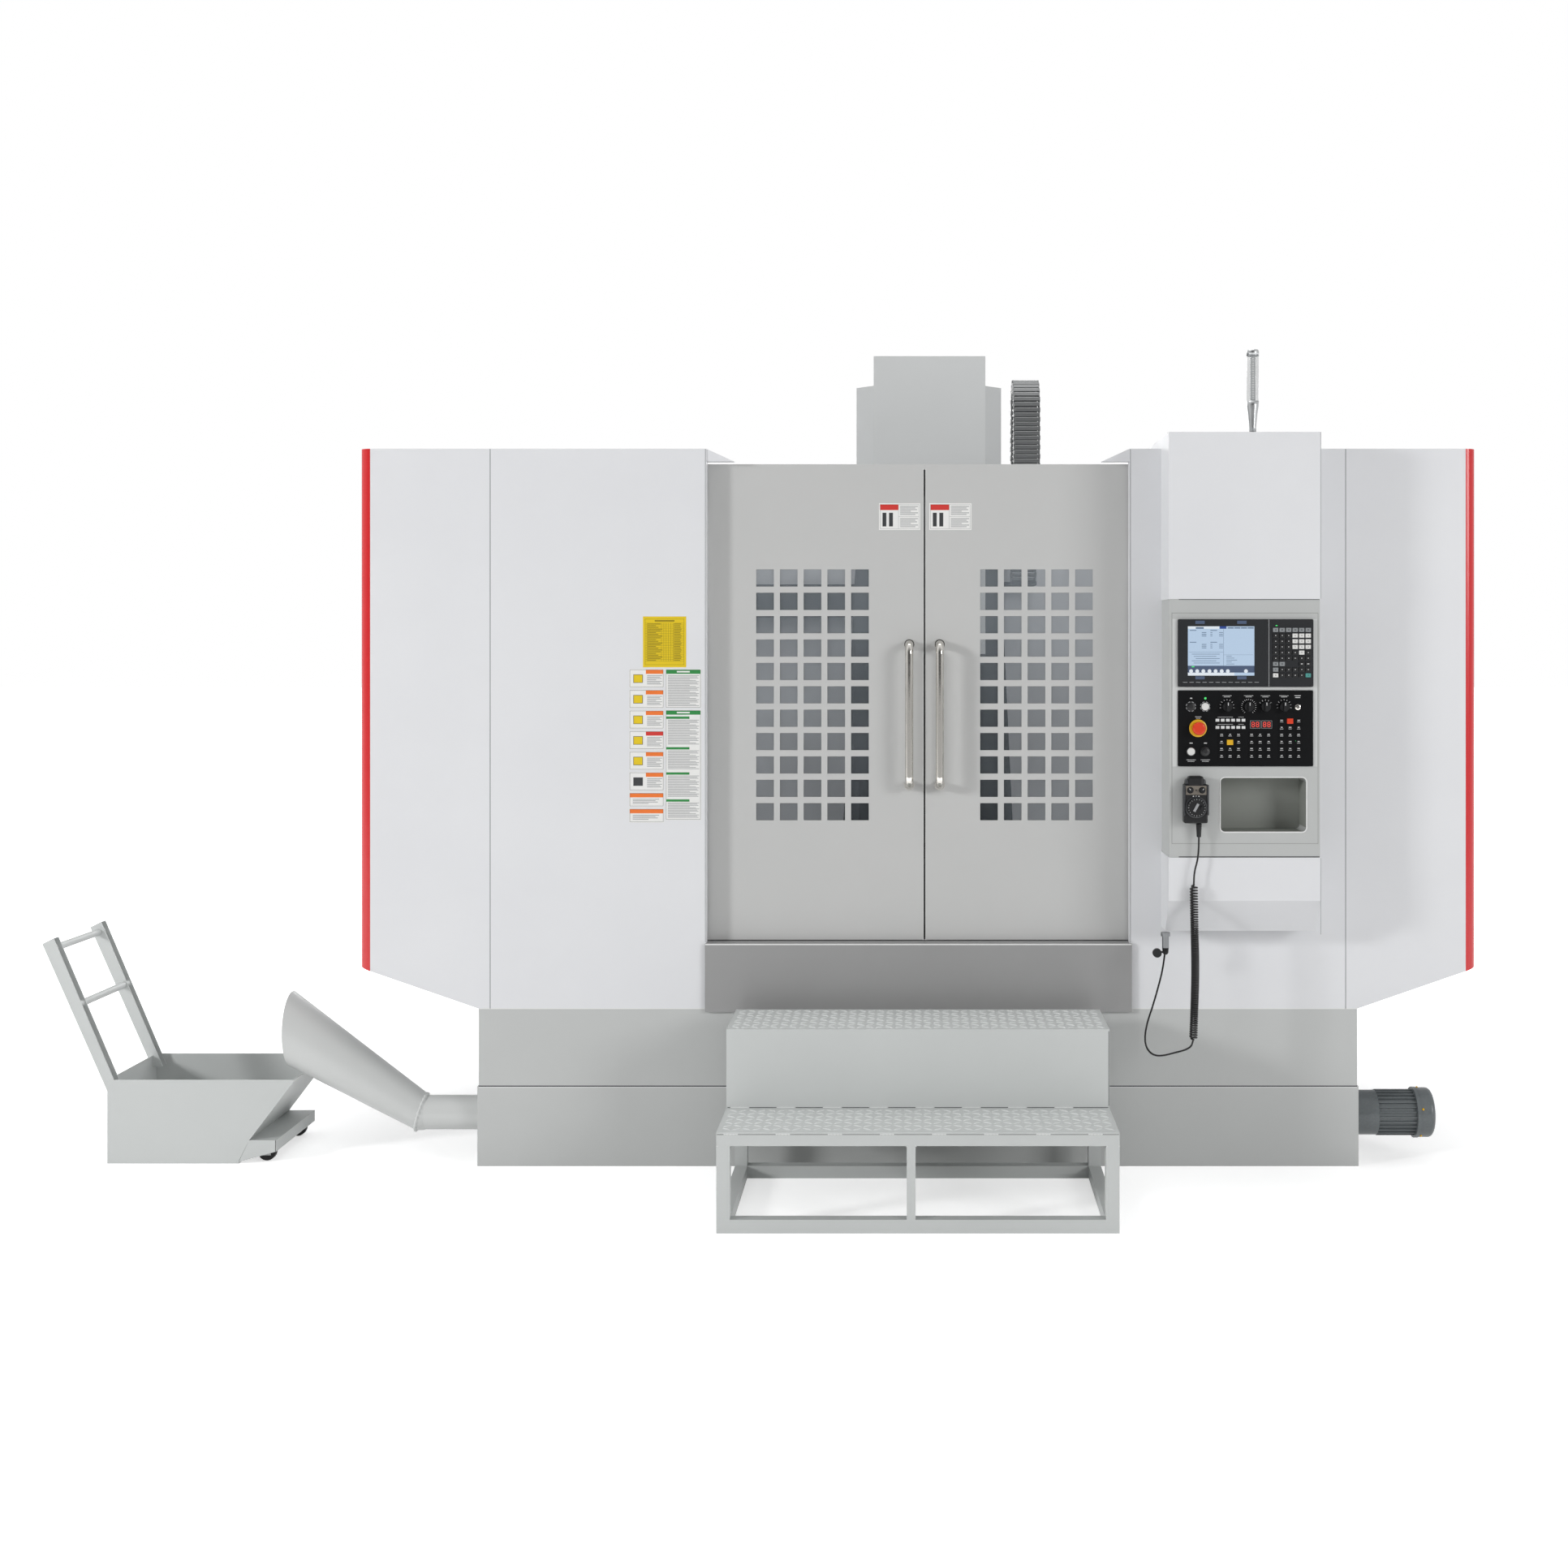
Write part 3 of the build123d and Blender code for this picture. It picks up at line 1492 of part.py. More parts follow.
def make_parts():
    parts = {}
    parts["levelling_pads"] = make_levelling_pads()
    parts["bed"] = make_bed()
    parts["guide_rails"] = make_guide_rails()
    parts["column"] = make_column()
    parts["saddle"] = make_saddle()
    parts["saddle_rails"] = make_saddle_rails()
    parts["table"] = make_table()
    parts["headstock"] = make_headstock()
    parts["head_cover"] = make_head_cover()
    parts["spindle"] = make_spindle()
    parts["x_ballscrew"], parts["y_ballscrew"], parts["z_ballscrew"] = make_ballscrews()
    parts["x_servo"], parts["axis_servos"] = make_servos()
    parts["z_cover_lower"], parts["z_cover_upper"] = make_way_covers()
    parts["magazine_carriage"], parts["tool_carousel"] = make_magazine()
    parts["coolant_tank"] = make_coolant_tank()
    parts["chip_pan"] = make_chip_pan()
    parts["front_panels"] = make_front_panels()
    parts["side_panels"] = make_side_panels()
    parts["corner_trims"] = make_corner_trims()
    parts["sill_panel"] = make_sill_panel()
    parts["door_header"] = make_door_header()
    parts["rear_panel"] = make_rear_panel()
    parts["electrical_cabinet"], parts["cabinet_door"] = make_cabinet()
    for name, side in (("left", -1), ("right", 1)):
        parts[name + "_door"], parts[name + "_window"] = door_parts(side)
        parts[name + "_handle"] = make_handle(side)
    parts["station_hood"], parts["station_base"] = make_station()
    parts["panel_box"] = make_panel_box()
    parts["display_unit"] = make_display_unit()
    parts["control_plate"] = make_control_plate()
    parts["stop_button"] = make_stop_button()
    parts["mode_knob"] = make_knob(mode_knob_x)
    parts["feed_knob"] = make_knob(feed_knob_x)
    parts["rapid_knob"] = make_knob(rapid_knob_x)
    parts["spindle_knob"] = make_knob(spindle_knob_x)
    parts["pendant"], parts["pendant_dial"] = make_pendant()
    parts["signal_lamp"] = make_signal_lamp()
    cord = make_cord()
    parts["cord_lead"], parts["cord_coil"], parts["cord_tail"], parts["cord_plug"] = cord
    parts["cable_chain"] = make_cable_chain()
    parts["chip_auger"] = make_auger()
    parts["chip_pipe"] = make_chip_pipe()
    parts["gear_motor"] = make_gear_motor()
    parts["chip_cart"] = make_cart()
    parts["front_caster_wheel"] = make_wheel(0)
    parts["rear_caster_wheel"] = make_wheel(1)
    parts["operator_step"] = make_operator_step()
    return parts


os.makedirs("parts", exist_ok=True)
for node, solid in make_parts().items():
    export_step(solid, "parts/" + node + ".step")
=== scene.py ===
"""Looks of an enclosed vertical machining center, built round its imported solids.

The frame is in metres. Places and sizes here are in millimetres, and MM turns them to metres.
"""
import math

import bmesh
import bpy
from mathutils import Matrix, Vector


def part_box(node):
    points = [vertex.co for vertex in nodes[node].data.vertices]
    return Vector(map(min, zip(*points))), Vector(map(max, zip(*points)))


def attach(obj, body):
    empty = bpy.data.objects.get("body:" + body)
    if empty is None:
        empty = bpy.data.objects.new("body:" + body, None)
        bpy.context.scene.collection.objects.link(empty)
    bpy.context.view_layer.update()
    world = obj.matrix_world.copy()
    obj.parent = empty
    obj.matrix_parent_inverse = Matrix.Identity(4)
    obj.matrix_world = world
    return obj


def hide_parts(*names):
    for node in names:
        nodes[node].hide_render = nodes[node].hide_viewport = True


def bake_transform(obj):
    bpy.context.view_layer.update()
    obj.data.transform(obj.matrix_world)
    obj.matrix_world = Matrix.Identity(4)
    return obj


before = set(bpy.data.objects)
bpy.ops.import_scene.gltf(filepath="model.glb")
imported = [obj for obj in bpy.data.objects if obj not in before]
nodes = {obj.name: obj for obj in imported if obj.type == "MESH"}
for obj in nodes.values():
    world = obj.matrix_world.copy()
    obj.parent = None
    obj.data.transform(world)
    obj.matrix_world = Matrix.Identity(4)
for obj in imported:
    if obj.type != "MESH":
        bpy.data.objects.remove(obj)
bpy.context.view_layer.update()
MM = 0.001

# Camera, fitted to the photograph's frame
photo_size = 1932
axis_px = (1131, 787)
focal_px = 2293
camera_place = (0, -7100, 1757)
sensor_mm = 36.0

# Faces that the details sit on
front_face = -900.0
door_face = -850.0
station_face = -1086.0
unit_face = -1096.0
control_face = -1092.0
pad_proud = 1.5

# Lettering cards: two columns and a chart on the left front panel
card_thick = 0.6
card_face = front_face - card_thick
card_border = 2.0
ink_proud = 0.15
rule_proud = 0.12
card_left = (-962.0, -846.0)
card_right = (-841.0, -722.0)
card_top = 1656.0
card_low = 1153.0
small_cards = 6
small_card_tall = 62.0
small_card_pitch = 68.6
wide_card_tall = 47.0
wide_card_pitch = 53.0
chart_x = (-916.0, -772.0)
chart_z = (1662.0, 1831.0)

# Operator station: its knobs, stop button and hand pendant
knob_z = 1538.0
stop_place = (904.0, 1468.0)
pendant_x = 893.0
pendant_face = -1128.0
pendant_back = -1086.0
dial_z = 1216.0
dial_face = -1142.0
sleeve_x = 904.0
cord_y = -1112.0

# Chequer plate on the treads
tear_long = 35.0
tear_wide = 9.0
tear_high = 2.6
tear_pitch = 30.0
tear_row = 36.0
tear_lean = 38.0
riser_face = -1311.5

# Chip outlet and its motor: middle of the trough's end
trough_y = -800.0
trough_z = 155.0

# Cable chain
chain_pitch = 19.0

# Chip cart: ends of its foot plate from the far end of its handle
cart_foot_x = 783.0
cart_heel_x = 693.0
cart_floor_x = 658.0

# Sheets: how far a drawn joint stands out, and the half width of a narrow one
seam_proud = 0.3
joint_half = 1.6
tank_half = 1463.0

# Pendant cord, as in the part's source
cord_diameter = 6.0
coil_turns = 78
coil_turn_radius = 10.5
points_per_turn = 14


def linear(code, share=1.0):
    """An sRGB hex colour as linear RGBA, dimmed to a share of its light."""
    parts = [int(code[i:i + 2], 16) / 255 for i in (1, 3, 5)]
    return [share * (c / 12.92 if c <= 0.04045 else ((c + 0.055) / 1.055) ** 2.4) for c in parts] + [1.0]


def add(tree, kind, links=None, values=None, feeds=None, **settings):
    """One node with its settings, socket values and links; its result goes on to the socket that it feeds."""
    node = tree.nodes.new("ShaderNode" + kind)
    for name, value in settings.items():
        setattr(node, name, value)
    for name, value in (values or {}).items():
        node.inputs[name].default_value = value
    for name, source in (links or {}).items():
        tree.links.new(source, node.inputs[name])
    if feeds is not None:
        tree.links.new(next(socket for socket in node.outputs if socket.enabled), feeds)
    return node


def surface(name, roughness, **constants):
    """A material, its node tree, its shader's sockets with constant values set, and its object's own places."""
    made = bpy.data.materials.new(name)
    made.use_nodes = True
    tree = made.node_tree
    sockets = tree.nodes["Principled BSDF"].inputs
    sockets["Roughness"].default_value = roughness
    for socket, value in constants.items():
        sockets[socket.replace("_", " ")].default_value = value
    return made, tree, sockets, add(tree, "TexCoord").outputs["Object"]


def per_mm(size):
    """Texture scale for a pattern whose features are size millimetres apart."""
    return 1 / (size * MM)


def mottle(tree, place, socket, size, detail, tone, other):
    """Colour that wanders between two tones in patches of size millimetres; gives the patches, for relief."""
    patches = add(tree, "TexNoise", {"Vector": place}, {"Scale": per_mm(size), "Detail": detail}).outputs["Fac"]
    add(tree, "Mix", {"Factor": patches}, {6: tone, 7: other}, socket, data_type="RGBA")
    return patches


def powder_coat(name, code, deep, roughness=0.42, grain=4.0, relief=0.12):
    """Sprayed and baked powder paint: even colour that drifts a little, and a fine orange peel.
    The real peel is about 1 mm; it is drawn coarser so that it shows."""
    made, tree, shader, place = surface(name, roughness)
    mottle(tree, place, shader["Base Color"], 420, 3.0, linear(code), linear(deep))
    peel = add(tree, "TexNoise", {"Vector": place}, {"Scale": per_mm(grain), "Detail": 2.0}).outputs["Fac"]
    spread = {"To Min": roughness - 0.06, "To Max": roughness + 0.06}
    add(tree, "MapRange", {"Value": peel}, spread, shader["Roughness"])
    add(tree, "Bump", {"Height": peel}, {"Strength": relief, "Distance": 0.3 * MM}, shader["Normal"])
    return made


def cast_enamel(name, code, deep, roughness=0.5):
    """Enamel brushed over a sand casting: pitted skin, dull shine, darker hollows."""
    made, tree, shader, place = surface(name, roughness)
    pits = mottle(tree, place, shader["Base Color"], 7, 4.0, linear(code), linear(deep))
    add(tree, "Bump", {"Height": pits}, {"Strength": 0.3, "Distance": 0.6 * MM}, shader["Normal"])
    return made


def ground_steel(name, code, roughness, line, along):
    """Steel ground or rolled in one direction: fine lines that spread the shine across them."""
    made, tree, shader, place = surface(name, roughness, Metallic=1.0)
    stretch = [per_mm(line * 60 if axis == along else line) for axis in range(3)]
    lines = add(tree, "Mapping", {"Vector": place}, {"Scale": stretch}).outputs[0]
    # The stretch holds the lines' size, so the pattern itself keeps a scale of 1.
    grind = mottle(tree, lines, shader["Base Color"], 1 / MM, 3.0, linear(code, 0.86), linear(code))
    spread = {"To Min": roughness * 0.7, "To Max": roughness * 1.3}
    add(tree, "MapRange", {"Value": grind}, spread, shader["Roughness"])
    add(tree, "Bump", {"Height": grind}, {"Strength": 0.08, "Distance": 0.1 * MM}, shader["Normal"])
    return made


def chrome_plate(name):
    """Bright plate on a polished tube, with faint smears from hands."""
    made, tree, shader, place = surface(name, 0.08, Metallic=1.0, Base_Color=linear("#d6d3cd"))
    smear = add(tree, "TexNoise", {"Vector": place}, {"Scale": per_mm(35), "Detail": 4.0}).outputs["Fac"]
    add(tree, "MapRange", {"Value": smear}, {"To Min": 0.03, "To Max": 0.12}, shader["Roughness"])
    return made


def moulded_plastic(name, code, roughness=0.45, grain=2.0, specular=0.5):
    """Injection moulded plastic with a spark-eroded grain; the 0.3 mm grain is drawn coarser."""
    made, tree, shader, place = surface(name, roughness, Specular_IOR_Level=specular)
    grit = mottle(tree, place, shader["Base Color"], grain, 2.0, linear(code), linear(code, 0.8))
    add(tree, "Bump", {"Height": grit}, {"Strength": 0.1, "Distance": 0.1 * MM}, shader["Normal"])
    return made


def tinted_pane(name):
    """Clear polycarbonate with a film of coolant mist in random patches, cool grey, part see-through; painted lighter
    towards the top as a painted highlight and darker towards the bottom as painted shade.
    """
    made, tree, shader, place = surface(name, 0.14, Alpha=0.2)
    mist = add(tree, "TexNoise", {"Vector": place}, {"Scale": per_mm(420), "Detail": 1.0})
    height = add(tree, "SeparateXYZ", {"Vector": place})
    # Painted light: the pane's colour goes from dark to pale with height, a painted highlight at the top and painted
    # shade at the bottom.
    painted_light_rise = add(tree, "MapRange", {"Value": height.outputs["Z"]}, {"From Min": 1.1, "From Max": 2.0})
    mist_and_painted_light = add(tree, "Math", {0: mist.outputs["Fac"], 1: painted_light_rise.outputs[0]}, operation="ADD")
    share = add(tree, "MapRange", {"Value": mist_and_painted_light.outputs[0]}, {"From Min": 0.3, "From Max": 1.7})
    tones = {6: linear("#42484d"), 7: linear("#b3bcc4")}
    add(tree, "Mix", {"Factor": share.outputs[0]}, tones, shader["Base Color"], data_type="RGBA")
    return made


def clear_lens(name):
    """Clear acrylic tube: mostly see-through, sharp reflections."""
    made, tree, shader, place = surface(name, 0.06, Alpha=0.3)
    mottle(tree, place, shader["Base Color"], 18, 1.0, linear("#b9bcbd"), linear("#a2a6a8"))
    return made


def lit_field(name, code, strength):
    """A back-lit field of the display: its own light, with a faint pixel grid."""
    made, tree, shader, place = surface(name, 0.3, Base_Color=linear("#202428"), Emission_Strength=strength)
    mottle(tree, place, shader["Emission Color"], 3, 1.0, linear(code), linear(code, 0.94))
    return made


def print_ink(name, code):
    """Screen print on a vinyl card: flat ink with a satin film over it."""
    made, tree, shader, place = surface(name, 0.4)
    mottle(tree, place, shader["Base Color"], 30, 2.0, linear(code), linear(code, 0.92))
    return made


# Each way of making a finish, with the colours and values of its finishes
finish_rows = {
    powder_coat: {
        "white_powder_coat": ("#e3e4e6", "#dcdde0"),
        "door_powder_coat": ("#c4c4c3", "#bebfbe", 0.4),
        "sill_powder_coat": ("#9a9a9a", "#919191", 0.36, 3.0),
        "base_powder_coat": ("#c1c3c2", "#babcbb"),
        "pipe_powder_coat": ("#d0d2d1", "#c8cac9", 0.36),
        "cover_powder_coat": ("#d2d4d4", "#cbcdcd"),
        "step_powder_coat": ("#cbcecd", "#c1c4c3", 0.46, 6.0, 0.2),
        # Tears paler than the tread: worn paint, and a painted highlight on their crests.
        "tear_wear_and_highlight": ("#d4d7d6", "#cbcecd", 0.34, 3.0),
        # Weld beads paler than the coat round them: a painted highlight on their round tops, and paint worn thin on
        # them.
        "weld_wear_and_highlight": ("#e4e6e5", "#cccecd", 0.3, 2.0, 0.5),
        "panel_powder_coat": ("#bdbfbe", "#b5b7b6"),
        # Pale plate beside the units; between the units the same colour is a painted highlight.
        "pale_plate_and_highlight": ("#cfd1d0", "#c9cbca"),
        # Pale strips on edges: painted highlights; the same pale coat makes the locker's rim.
        "edge_highlight_and_trim": ("#e6e7e6", "#dededd", 0.35, 2.0),
        "pendant_plate": ("#7d766d", "#736c63", 0.4, 2.0),
        "locker_inside_grey": ("#92958f", "#888b86", 0.55, 5.0),
    },
    cast_enamel: {
        "casting_enamel": ("#4a4f52", "#3c4043"),
        "motor_enamel": ("#6a7072", "#585d5f", 0.32),
    },
    ground_steel: {
        "ground_steel": ("#b9bbbc", 0.3, 1.5, 0),
        "blackened_steel": ("#2b2c2e", 0.42, 2.0, 0),
        "plug_nickel": ("#8e9092", 0.36, 1.2, 2),
        "lamp_nickel": ("#bfc1c2", 0.3, 1.2, 2),
        "galvanised_plate": ("#b4b8ba", 0.5, 6.0, 2),
    },
    chrome_plate: {"chrome_plate": ()},
    moulded_plastic: {
        "red_trim_gloss": ("#d8262b", 0.22, 3.0),
        "black_abs": ("#151618", 0.4, 2.0, 0.35),
        "display_abs": ("#222427", 0.46, 2.0, 0.3),
        "membrane_black": ("#0b0c0e", 0.6, 3.0, 0.12),
        "chain_nylon": ("#7a7c7d", 0.5, 5.0),
        # Pale lips of the chain's bars: a painted highlight.
        "chain_lip_highlight": ("#c2c4c4", 0.4, 4.0),
        "pendant_rail": ("#35373a", 0.36),
        "stop_red": ("#e2401f", 0.25),
        "stop_yellow": ("#e8b418", 0.35),
        "key_white": ("#e4e4e2", 0.4),
        "key_grey": ("#8d9194", 0.4),
        "key_black": ("#101113", 0.4),
        "key_teal": ("#4f9a94", 0.4),
        "led_strip": ("#b4b7b9", 0.4),
        "wheel_rubber": ("#1b1b1c", 0.75, 3.0),
        "cord_jacket": ("#131314", 0.26),
    },
    tinted_pane: {"polycarbonate_pane": ()},
    clear_lens: {"lens_acrylic": ()},
    print_ink: {
        # Grey sealant lines in joints; the same grey makes lines down the station's edges, which are painted shade.
        "sealant_and_edge_shade": ("#a5a7a9",),
        "seam_shadow": ("#4d4f50",),
        "panel_line": ("#949694",),
        "card_white": ("#eeeeec",),
        "ink_grey": ("#9a9c9e",),
        "ink_dark": ("#3a3c3e",),
        "ink_orange": ("#f07a32",),
        "ink_green": ("#2f8a45",),
        "ink_red": ("#d23a34",),
        "ink_yellow": ("#e6c81e",),
        "ink_olive": ("#8f7d10",),
        "ink_white": ("#dcdddd",),
    },
    lit_field: {
        "screen_blue": ("#bcd2ea", 0.9),
        "screen_white": ("#e8f0f8", 0.9),
        "screen_slate": ("#4a5a78", 0.8),
        "screen_navy": ("#1d3f92", 0.9),
        "screen_ink": ("#6f86a4", 0.7),
        "led_green": ("#3fe06a", 1.2),
        "led_red": ("#ff4a3c", 1.2),
    },
}
finishes = {name: way(name, *row) for way, rows in finish_rows.items() for name, row in rows.items()}

node_finish = {
    "white_powder_coat": "front_panels side_panels rear_panel electrical_cabinet cabinet_door"
                         " station_hood station_base",
    "door_powder_coat": "left_door right_door",
    "sill_powder_coat": "sill_panel",
    "base_powder_coat": "coolant_tank chip_pan door_header",
    "pipe_powder_coat": "chip_pipe",
    "cover_powder_coat": "head_cover",
    "step_powder_coat": "operator_step chip_cart",
    "panel_powder_coat": "panel_box",
    "red_trim_gloss": "corner_trims",
    "casting_enamel": "bed column saddle headstock magazine_carriage",
    "motor_enamel": "gear_motor",
    "ground_steel": "levelling_pads guide_rails saddle_rails table spindle x_ballscrew y_ballscrew"
                    " z_ballscrew tool_carousel chip_auger",
    "blackened_steel": "z_cover_lower z_cover_upper",
    "chrome_plate": "left_handle right_handle",
    "plug_nickel": "cord_plug",
    "polycarbonate_pane": "left_window right_window",
    "black_abs": "x_servo axis_servos pendant pendant_dial mode_knob feed_knob rapid_knob spindle_knob",
    "display_abs": "display_unit",
    "membrane_black": "control_plate",
    "chain_nylon": "cable_chain",
    "stop_red": "stop_button",
    "lens_acrylic": "signal_lamp",
    "wheel_rubber": "front_caster_wheel rear_caster_wheel",
    "cord_jacket": "cord_lead cord_coil cord_tail",
}


def dress_nodes():
    """Gives every solid of the frame its finish."""
    for finish, names in node_finish.items():
        for name in names.split():
            slots = nodes[name].data.materials
            slots.clear()
            slots.append(finishes[finish])


# Mesh helpers: every place is in millimetres


def extents(name):
    """The low and the high corner of a solid."""
    return [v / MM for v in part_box(name)]


def around(middle, half):
    """A span to both sides of its middle."""
    return middle - half, middle + half


def inside(span, edge):
    """A span drawn in by an edge at both ends."""
    return span[0] + edge, span[1] - edge


def set_at(place, angle, axis="Y"):
    """Moves a form to a place and turns it there, by radians."""
    return Matrix.Translation(Vector(place) * MM) @ Matrix.Rotation(angle, 4, axis)


def slab(bm, xs, ys, zs, finish=0, soft=0.0, put=None):
    """A box between pairs of places, with its edges rounded by soft; put turns and moves it."""
    size = Matrix.Diagonal([(b - a) * MM for a, b in (xs, ys, zs)] + [1])
    middle = Matrix.Translation([(a + b) / 2 * MM for a, b in (xs, ys, zs)])
    shape = middle @ size
    made = bmesh.ops.create_cube(bm, size=1, matrix=put @ shape if put else shape)["verts"]
    faces = {f for v in made for f in v.link_faces}
    if soft:
        edges = {e for v in made for e in v.link_edges}
        cut = bmesh.ops.bevel(bm, geom=list(edges), offset=soft * MM, segments=2, profile=0.5, affect="EDGES")
        faces = {f for rim in cut["faces"] for v in rim.verts for f in v.link_faces}
    for face in faces:
        face.material_index = finish


def turned(bm, place, profile, axis, finish=0, sides=32):
    """A turned form: rings of (radius, distance along the axis) about a place; axis is a letter.
    A profile that comes back to its first point makes an open ring."""
    turn = {"X": Matrix.Rotation(math.pi / 2, 4, "Y"), "Y": Matrix.Rotation(-math.pi / 2, 4, "X"),
            "Z": Matrix.Identity(4)}[axis]
    put = Matrix.Translation(Vector(place) * MM) @ turn
    ringed = profile[0] == profile[-1]
    rings = []
    for radius, along in profile[:-1] if ringed else profile:
        ring = []
        for step in range(sides):
            angle = 2 * math.pi * step / sides
            spot = Vector((radius * math.cos(angle), radius * math.sin(angle), along)) * MM
            ring.append(bm.verts.new(put @ spot))
        rings.append(ring)
    for low, high in zip(rings, rings[1:] + rings[:1] if ringed else rings[1:]):
        for step in range(sides):
            after = (step + 1) % sides
            face = bm.faces.new((low[step], low[after], high[after], high[step]))
            face.material_index = finish
            face.smooth = not ringed
    if ringed:
        return
    for ring, flip in ((rings[0], True), (rings[-1], False)):
        face = bm.faces.new(ring[::-1] if flip else ring)
        face.material_index = finish


def rounded_loop(xs, zs, radius, y):
    """Points of a rectangle with round corners, in a plane that faces the operator."""
    loop = []
    for x, z, start in ((xs[1], zs[1], 0), (xs[0], zs[1], 90), (xs[0], zs[0], 180), (xs[1], zs[0], 270)):
        middle = (x - math.copysign(radius, x - sum(xs) / 2), z - math.copysign(radius, z - sum(zs) / 2))
        for step in range(7):
            angle = math.radians(start + step * 15)
            loop.append((middle[0] + radius * math.cos(angle), y, middle[1] + radius * math.sin(angle)))
    return loop


def rim(bm, xs, zs, radius, wide, ys, finish=0):
    """A frame round an opening with round corners, wide across, from ys[1] out to ys[0]."""
    outer = (xs[0] - wide, xs[1] + wide), (zs[0] - wide, zs[1] + wide), radius + wide
    loops = [rounded_loop(xs, zs, radius, ys[1]), rounded_loop(xs, zs, radius, ys[0]),
             rounded_loop(*outer, ys[0]), rounded_loop(*outer, ys[1])]
    rings = [[bm.verts.new(Vector(p) * MM) for p in loop] for loop in loops]
    for low, high in zip(rings, rings[1:] + rings[:1]):
        for step in range(len(low)):
            after = (step + 1) % len(low)
            bm.faces.new((low[step], low[after], high[after], high[step])).material_index = finish


def make(name, bm, names, body=None):
    """Turns a built mesh into a piece with its finishes, riding on a body if one is named."""
    bmesh.ops.recalc_face_normals(bm, faces=bm.faces)
    mesh = bpy.data.meshes.new(name)
    bm.to_mesh(mesh)
    bm.free()
    for finish in names:
        mesh.materials.append(finishes[finish])
    piece = bpy.data.objects.new(name, mesh)
    bpy.context.scene.collection.objects.link(piece)
    if body:
        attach(piece, body)
    return piece


# Lettering cards, with ruled lines in place of words


def printed(bm, xs, zs, face, ink, proud=ink_proud):
    """A flat field of ink on a face."""
    slab(bm, xs, (face - proud, face), zs, ink)


def ruled_lines(bm, xs, zs, face, pitch, ink, lengths=(1.0, 0.86, 0.95, 0.6)):
    """Rows of thin printed lines that fill a field from its top."""
    for row in range(int((zs[1] - zs[0]) / pitch)):
        reach = xs[0] + (xs[1] - xs[0]) * lengths[row % len(lengths)]
        printed(bm, (xs[0], reach), around(zs[1] - (row + 0.5) * pitch, pitch * 0.22), face, ink)


def frame_lines(bm, xs, zs, face, wide, ink):
    """A thin printed border just inside a field."""
    for x in (xs[0], xs[1] - wide):
        printed(bm, (x, x + wide), zs, face, ink)
    for z in (zs[0], zs[1] - wide):
        printed(bm, xs, (z, z + wide), face, ink)


card_inks = ["card_white", "ink_grey", "ink_dark", "ink_orange", "ink_green", "ink_red", "ink_yellow"]


def blank_card(bm, xs, zs):
    """A white card on the front panel, with a thin dark border."""
    slab(bm, xs, (card_face, front_face), zs, 0, 0.2)
    frame_lines(bm, inside(xs, card_border), inside(zs, card_border), card_face, 0.9, 2)


def left_cards():
    """A column of six small cards, each with a picture field and a header over lines, and two wide ones below."""
    bm = bmesh.new()
    left, right = card_left
    split = left + 0.48 * (right - left)
    for place in range(small_cards):
        top = card_top - place * small_card_pitch
        low = top - small_card_tall
        blank_card(bm, card_left, (low, top))
        printed(bm, (split, right - 3), (top - 16, top - 3), card_face, 5 if place == 3 else 3)
        ruled_lines(bm, (split + 4, right - 6), (low + 6, top - 20), card_face, 4.6, 1)
        picture = (left + 14, split - 10), (low + 16, top - 18)
        printed(bm, *picture, card_face, 2 if place == 5 else 6)
        frame_lines(bm, *picture, card_face - ink_proud, 1.6, 2)
    for place in range(2):
        top = card_top - small_cards * small_card_pitch - place * wide_card_pitch
        low = top - wide_card_tall
        blank_card(bm, card_left, (low, top))
        printed(bm, inside(card_left, card_border), (top - 16, top - 2), card_face, 3)
        ruled_lines(bm, (left + 12, right - 16), (low + 6, top - 20), card_face, 4.6, 1)
    return make("left_cards", bm, card_inks, "machine")


def right_cards():
    """Two tall cards with green headers and green section bars over ruled lines."""
    bm = bmesh.new()
    xs = inside(card_right, card_border)
    for zs, bars in (((1526, card_top), ()), ((card_low, 1520), (1498, 1396, 1312, 1222))):
        low, top = zs
        blank_card(bm, card_right, zs)
        printed(bm, xs, (top - 16, top - 2), card_face, 4)
        slab(bm, inside(xs, 36), (card_face - 0.25, card_face - ink_proud), (top - 11.5, top - 6.5), 0)
        for bar in bars:
            printed(bm, (xs[0], xs[0] + 78), (bar - 8, bar), card_face, 4)
        tops = [bar - 10 for bar in bars] or [top - 20]
        ends = [bar + 8 for bar in bars[1:]] + [low + 5]
        for field in zip(ends, tops):
            ruled_lines(bm, (xs[0] + 6, xs[1] - 5), field, card_face, 4.0, 1, (1.0, 0.94, 0.98, 0.7, 0.9))
    return make("right_cards", bm, card_inks, "machine")


